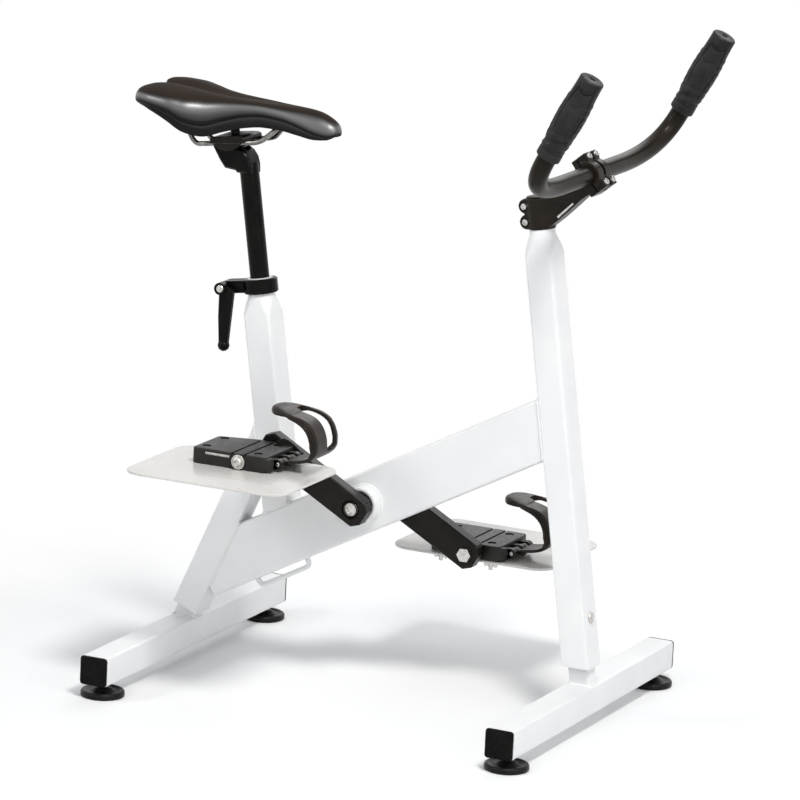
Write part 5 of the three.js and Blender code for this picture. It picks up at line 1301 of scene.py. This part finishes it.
# %% A slab with rounded corners and edges
def outline_solid(place, corners, low, high, edge):
    """A slab over a plan whose corners are (x, y, radius), with its upper and lower edges rounded."""
    plan = []
    for i, (x, y, radius) in enumerate(corners):
        here = Vector((x, y))
        back = (Vector(corners[i - 1][:2]) - here).normalized()
        ahead = (Vector(corners[(i + 1) % len(corners)][:2]) - here).normalized()
        half = back.angle(ahead) / 2
        middle = here + (back + ahead).normalized() * (radius / sin(half))
        start = here + back * (radius / tan(half)) - middle
        end = here + ahead * (radius / tan(half)) - middle
        for k in range(13):
            direction = start.lerp(end, k / 12)
            plan.append((middle, direction.normalized() * radius))
    rings = []
    steps = (0, 22.5, 45, 67.5, 90)
    for base, rise, angles in ((low, edge, reversed(steps)), (high, -edge, steps)):
        for angle in angles:
            inset = edge * (1 - cos(radians(angle)))
            height = base + rise * (1 - sin(radians(angle)))
            rings.append([place(*(m + d * (1 - inset / d.length)), height) for m, d in plan])
    return skin(rings)


# %% Plans of the block, its guard and the plate
bolt_places = [(-57, -29), (-57, 23), (21, -29), (21, 29)]
block_plan = [(-70, -46.5, 5), (40, -46.5, 5), (40, 46.5, 5), (-12, 46.5, 9), (-70, 31, 6)]
guard_side = [(12, 9), (13.5, 14.2), (18, 17.6), (24, 19), (30, 18.6), (38, 14.6), (46, 8.5), (53, 3.5), (50, -2),
              (40, -4), (20, 4)]
plate_plan = [(-128, -145, 30), (113, -145, 30), (113, 45, 30), (-128, 45, 30)]


# %% Mould a block
def block_slab(place, across):
    slab = outline_solid(place, block_plan, -10.5, 11, 1.6)
    cuts = [block_solid(place, (x - 1.75, -60, 8), (x + 1.75, 37.5, 20)) for x in (-10, 9)]
    cuts += [rod_solid(place(x, y, 4.5), upward, 6.2, 12, 36) for x, y in bolt_places]
    cuts.append(block_solid(place, (-52, -60, 3), (-14, -43.5, 7)))
    cuts.append(rod_solid(place(0, -60, 0), across, 6.2, 120))
    return cast(slab, cuts)


def make_block(word, place, across, corner_side):
    """The fuller corner is at -1 away from the crank or at 1 beside it."""
    corner_plan = [(31, corner_side * 46.3, 2), (47.5, corner_side * 46.3, 9), (47.5, corner_side * 32, 4),
                   (31, corner_side * 32, 2)]
    solids = [block_slab(place, across), outline_solid(place, corner_plan, -8.6, 9.2, 2.4)]
    for first, last in ((-30, -20), (-4, 4), (20, 30)):
        solids.append(block_solid(place, (37, first, -6.5), (clip_hinge, last, 6.5)))
        solids.append(rod_solid(place(clip_hinge, first, 0), across, 7, last - first))
    if word == "right":
        solids.append(skin([[place(x, y, z) for x, z in guard_side] for y in (38.6, 45.2)]))
    block = new_piece(f"moulded_block_{word}", *together(*solids), f"pedal_{word}", "moulded_plastic",
                      black_plastic, 35)
    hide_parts(f"pedal_block_{word}")


# %% Caps in the bolt holes, the strip in the slot and the hinge pin
cap_rings = [(5.9, 8.9), (5.7, 9.3), (4.6, 9.6), (1.6, 9.6)]
pin_profile = [(0, 0), (2.4, 0), (3, 0.5), (3, 60.5), (2.4, 61), (0, 61)]


def dress_block(word, place, across):
    body = f"pedal_{word}"
    holes = [mm_place(Matrix.Translation(place(x, y, 0))) for x, y in bolt_places]
    caps = [skin(turned_rings(cap_rings, hole, 28)) for hole in holes]
    new_piece(f"hole_caps_{word}", *together(*caps), body, "moulded_plastic", black_plastic, 35)
    strip = block_solid(place, (-51.6, -44.6, 3.2), (-14.4, -43.5, 6.8))
    new_piece(f"slot_strip_{word}", *strip, body, "stainless", stainless, 30)
    pin = turned_piece(f"hinge_pin_{word}", pin_profile, axes(place(clip_hinge, -30.5, 0), across, forward), body,
                       "stainless", stainless, 28, 30)
    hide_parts(f"clip_pin_{word}")


# %% Mould a plate
def make_plate(word, place):
    cuts = [rod_solid(place(x, y, -30), upward, 3.3, 40, 24) for x, y in bolt_places]
    points, faces = cast(outline_solid(place, plate_plan, -14.3, -10.8, 1.0), cuts)
    plate = new_piece(f"clear_plate_{word}", points, faces, f"pedal_{word}", "plate_plastic", milky_plate)
    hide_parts(f"resistance_plate_{word}")


# %% A rim round a crank bolt
rim_profile = [(8.9, -0.3), (8.9, 0.5), (9.3, 0.9), (10.1, 0.9), (10.6, 0.4), (10.6, -0.3)]


def make_bolt_rim(word, sign):
    low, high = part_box(f"crank_{word}")
    face = Vector((crank_centre.x, low[1] if sign < 0 else high[1], crank_centre.z))
    rings = turned_rings(rim_profile, mm_place(axes(face, lateral * sign, forward)))
    new_piece(f"bolt_rim_{word}", *skin(rings, True), "crank", "black_alloy", casting_paint)


# %% Make both pedals
pedal_out = 116

for word, sign in (("right", -1), ("left", 1)):
    low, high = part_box(f"pedal_axle_{word}")
    hub = Vector(((low[0] + high[0]) / 2, sign * pedal_out * mm, (low[2] + high[2]) / 2))

    def in_pedal(x, y, z):
        """Y runs towards the crank."""
        return hub + Vector((x, -sign * y, z)) * mm

    def in_clip(x, y, z):
        """The same clip is on both sides, so Y runs as in the world."""
        return hub + Vector((x, y, z)) * mm

    make_bolt_rim(word, sign)
    make_block(word, in_pedal, lateral * -sign, sign)
    dress_block(word, in_pedal, lateral * -sign)
    make_plate(word, in_pedal)
    make_clip(word, in_clip)
    print(word, "pedal axle at", round((hub.x - start_x) / mm, 2), round(hub.z / mm, 2))

# %% [markdown]
# ## Feet
#
# A levelling foot is a glossy moulded disc with a dished top round a hub, on a threaded stud with a lock nut.
# The model holds the same outline with few sides. A turned profile with fine steps gives the round rims their
# rings of light, the nut gets chamfered corners, and the stud gets a thread as a row of fine ridges.

# %% Profiles of a foot and its stud
foot_profile = [(0, 0), (26, 0), (28.4, 0.25), (29.6, 1.0), (30, 2.2), (30, 5.0), (29.8, 6.4), (29.1, 7.8),
                (27.9, 8.7), (26.4, 9), (25.0, 8.6), (23.4, 7.6), (21.2, 6.9), (18.6, 6.8), (16.4, 7.4),
                (14.4, 8.8), (12.8, 10.6), (11.6, 11.6), (10.8, 12), (0, 12)]
stud_profile = [(0, 11.6), (4.9, 11.6)]
for i in range(12):
    stud_profile += [(4.9, 11.8 + i * 0.17), (4.6, 11.88 + i * 0.17)]
stud_profile += [(4.9, 13.9), (0, 13.9)]
print("stud profile points:", len(stud_profile))

# %% A six-sided nut with chamfered corners
nut_half = 8.5


def nut_rings(middle):
    rings = []
    for height, cut in ((13.7, 0.55), (14.2, 0), (19.2, 0), (19.7, 0.55)):
        ring = []
        for i in range(72):
            angle = 2 * pi * i / 72
            hexagon = nut_half / cos((angle % (pi / 3)) - pi / 6)
            radius = min(hexagon, nut_half / cos(pi / 6) * 0.985 - cut)
            ring.append(middle + Vector((radius * cos(angle), radius * sin(angle), height)) * mm)
        rings.append(ring)
    return rings


# %% Turn the feet
def make_foot(corner):
    body = f"foot_{corner}"
    low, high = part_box(body)
    middle = Vector(((low[0] + high[0]) / 2, (low[1] + high[1]) / 2, 0))
    place = Matrix.Translation(middle)
    foot = turned_piece(f"foot_disc_{corner}", foot_profile, place, body, "foot_plastic", foot_rubber, 72, 50)
    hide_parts(body)
    new_piece(f"lock_nut_{corner}", *skin(nut_rings(middle)), body, "stainless", stainless, 25)
    turned_piece(f"stud_{corner}", stud_profile, place, body, "stainless", stainless, 32, 80)


feet = [f"{end}_{side}" for end in ends for side in sides]
for corner in feet:
    make_foot(corner)
print("feet:", len(feet))
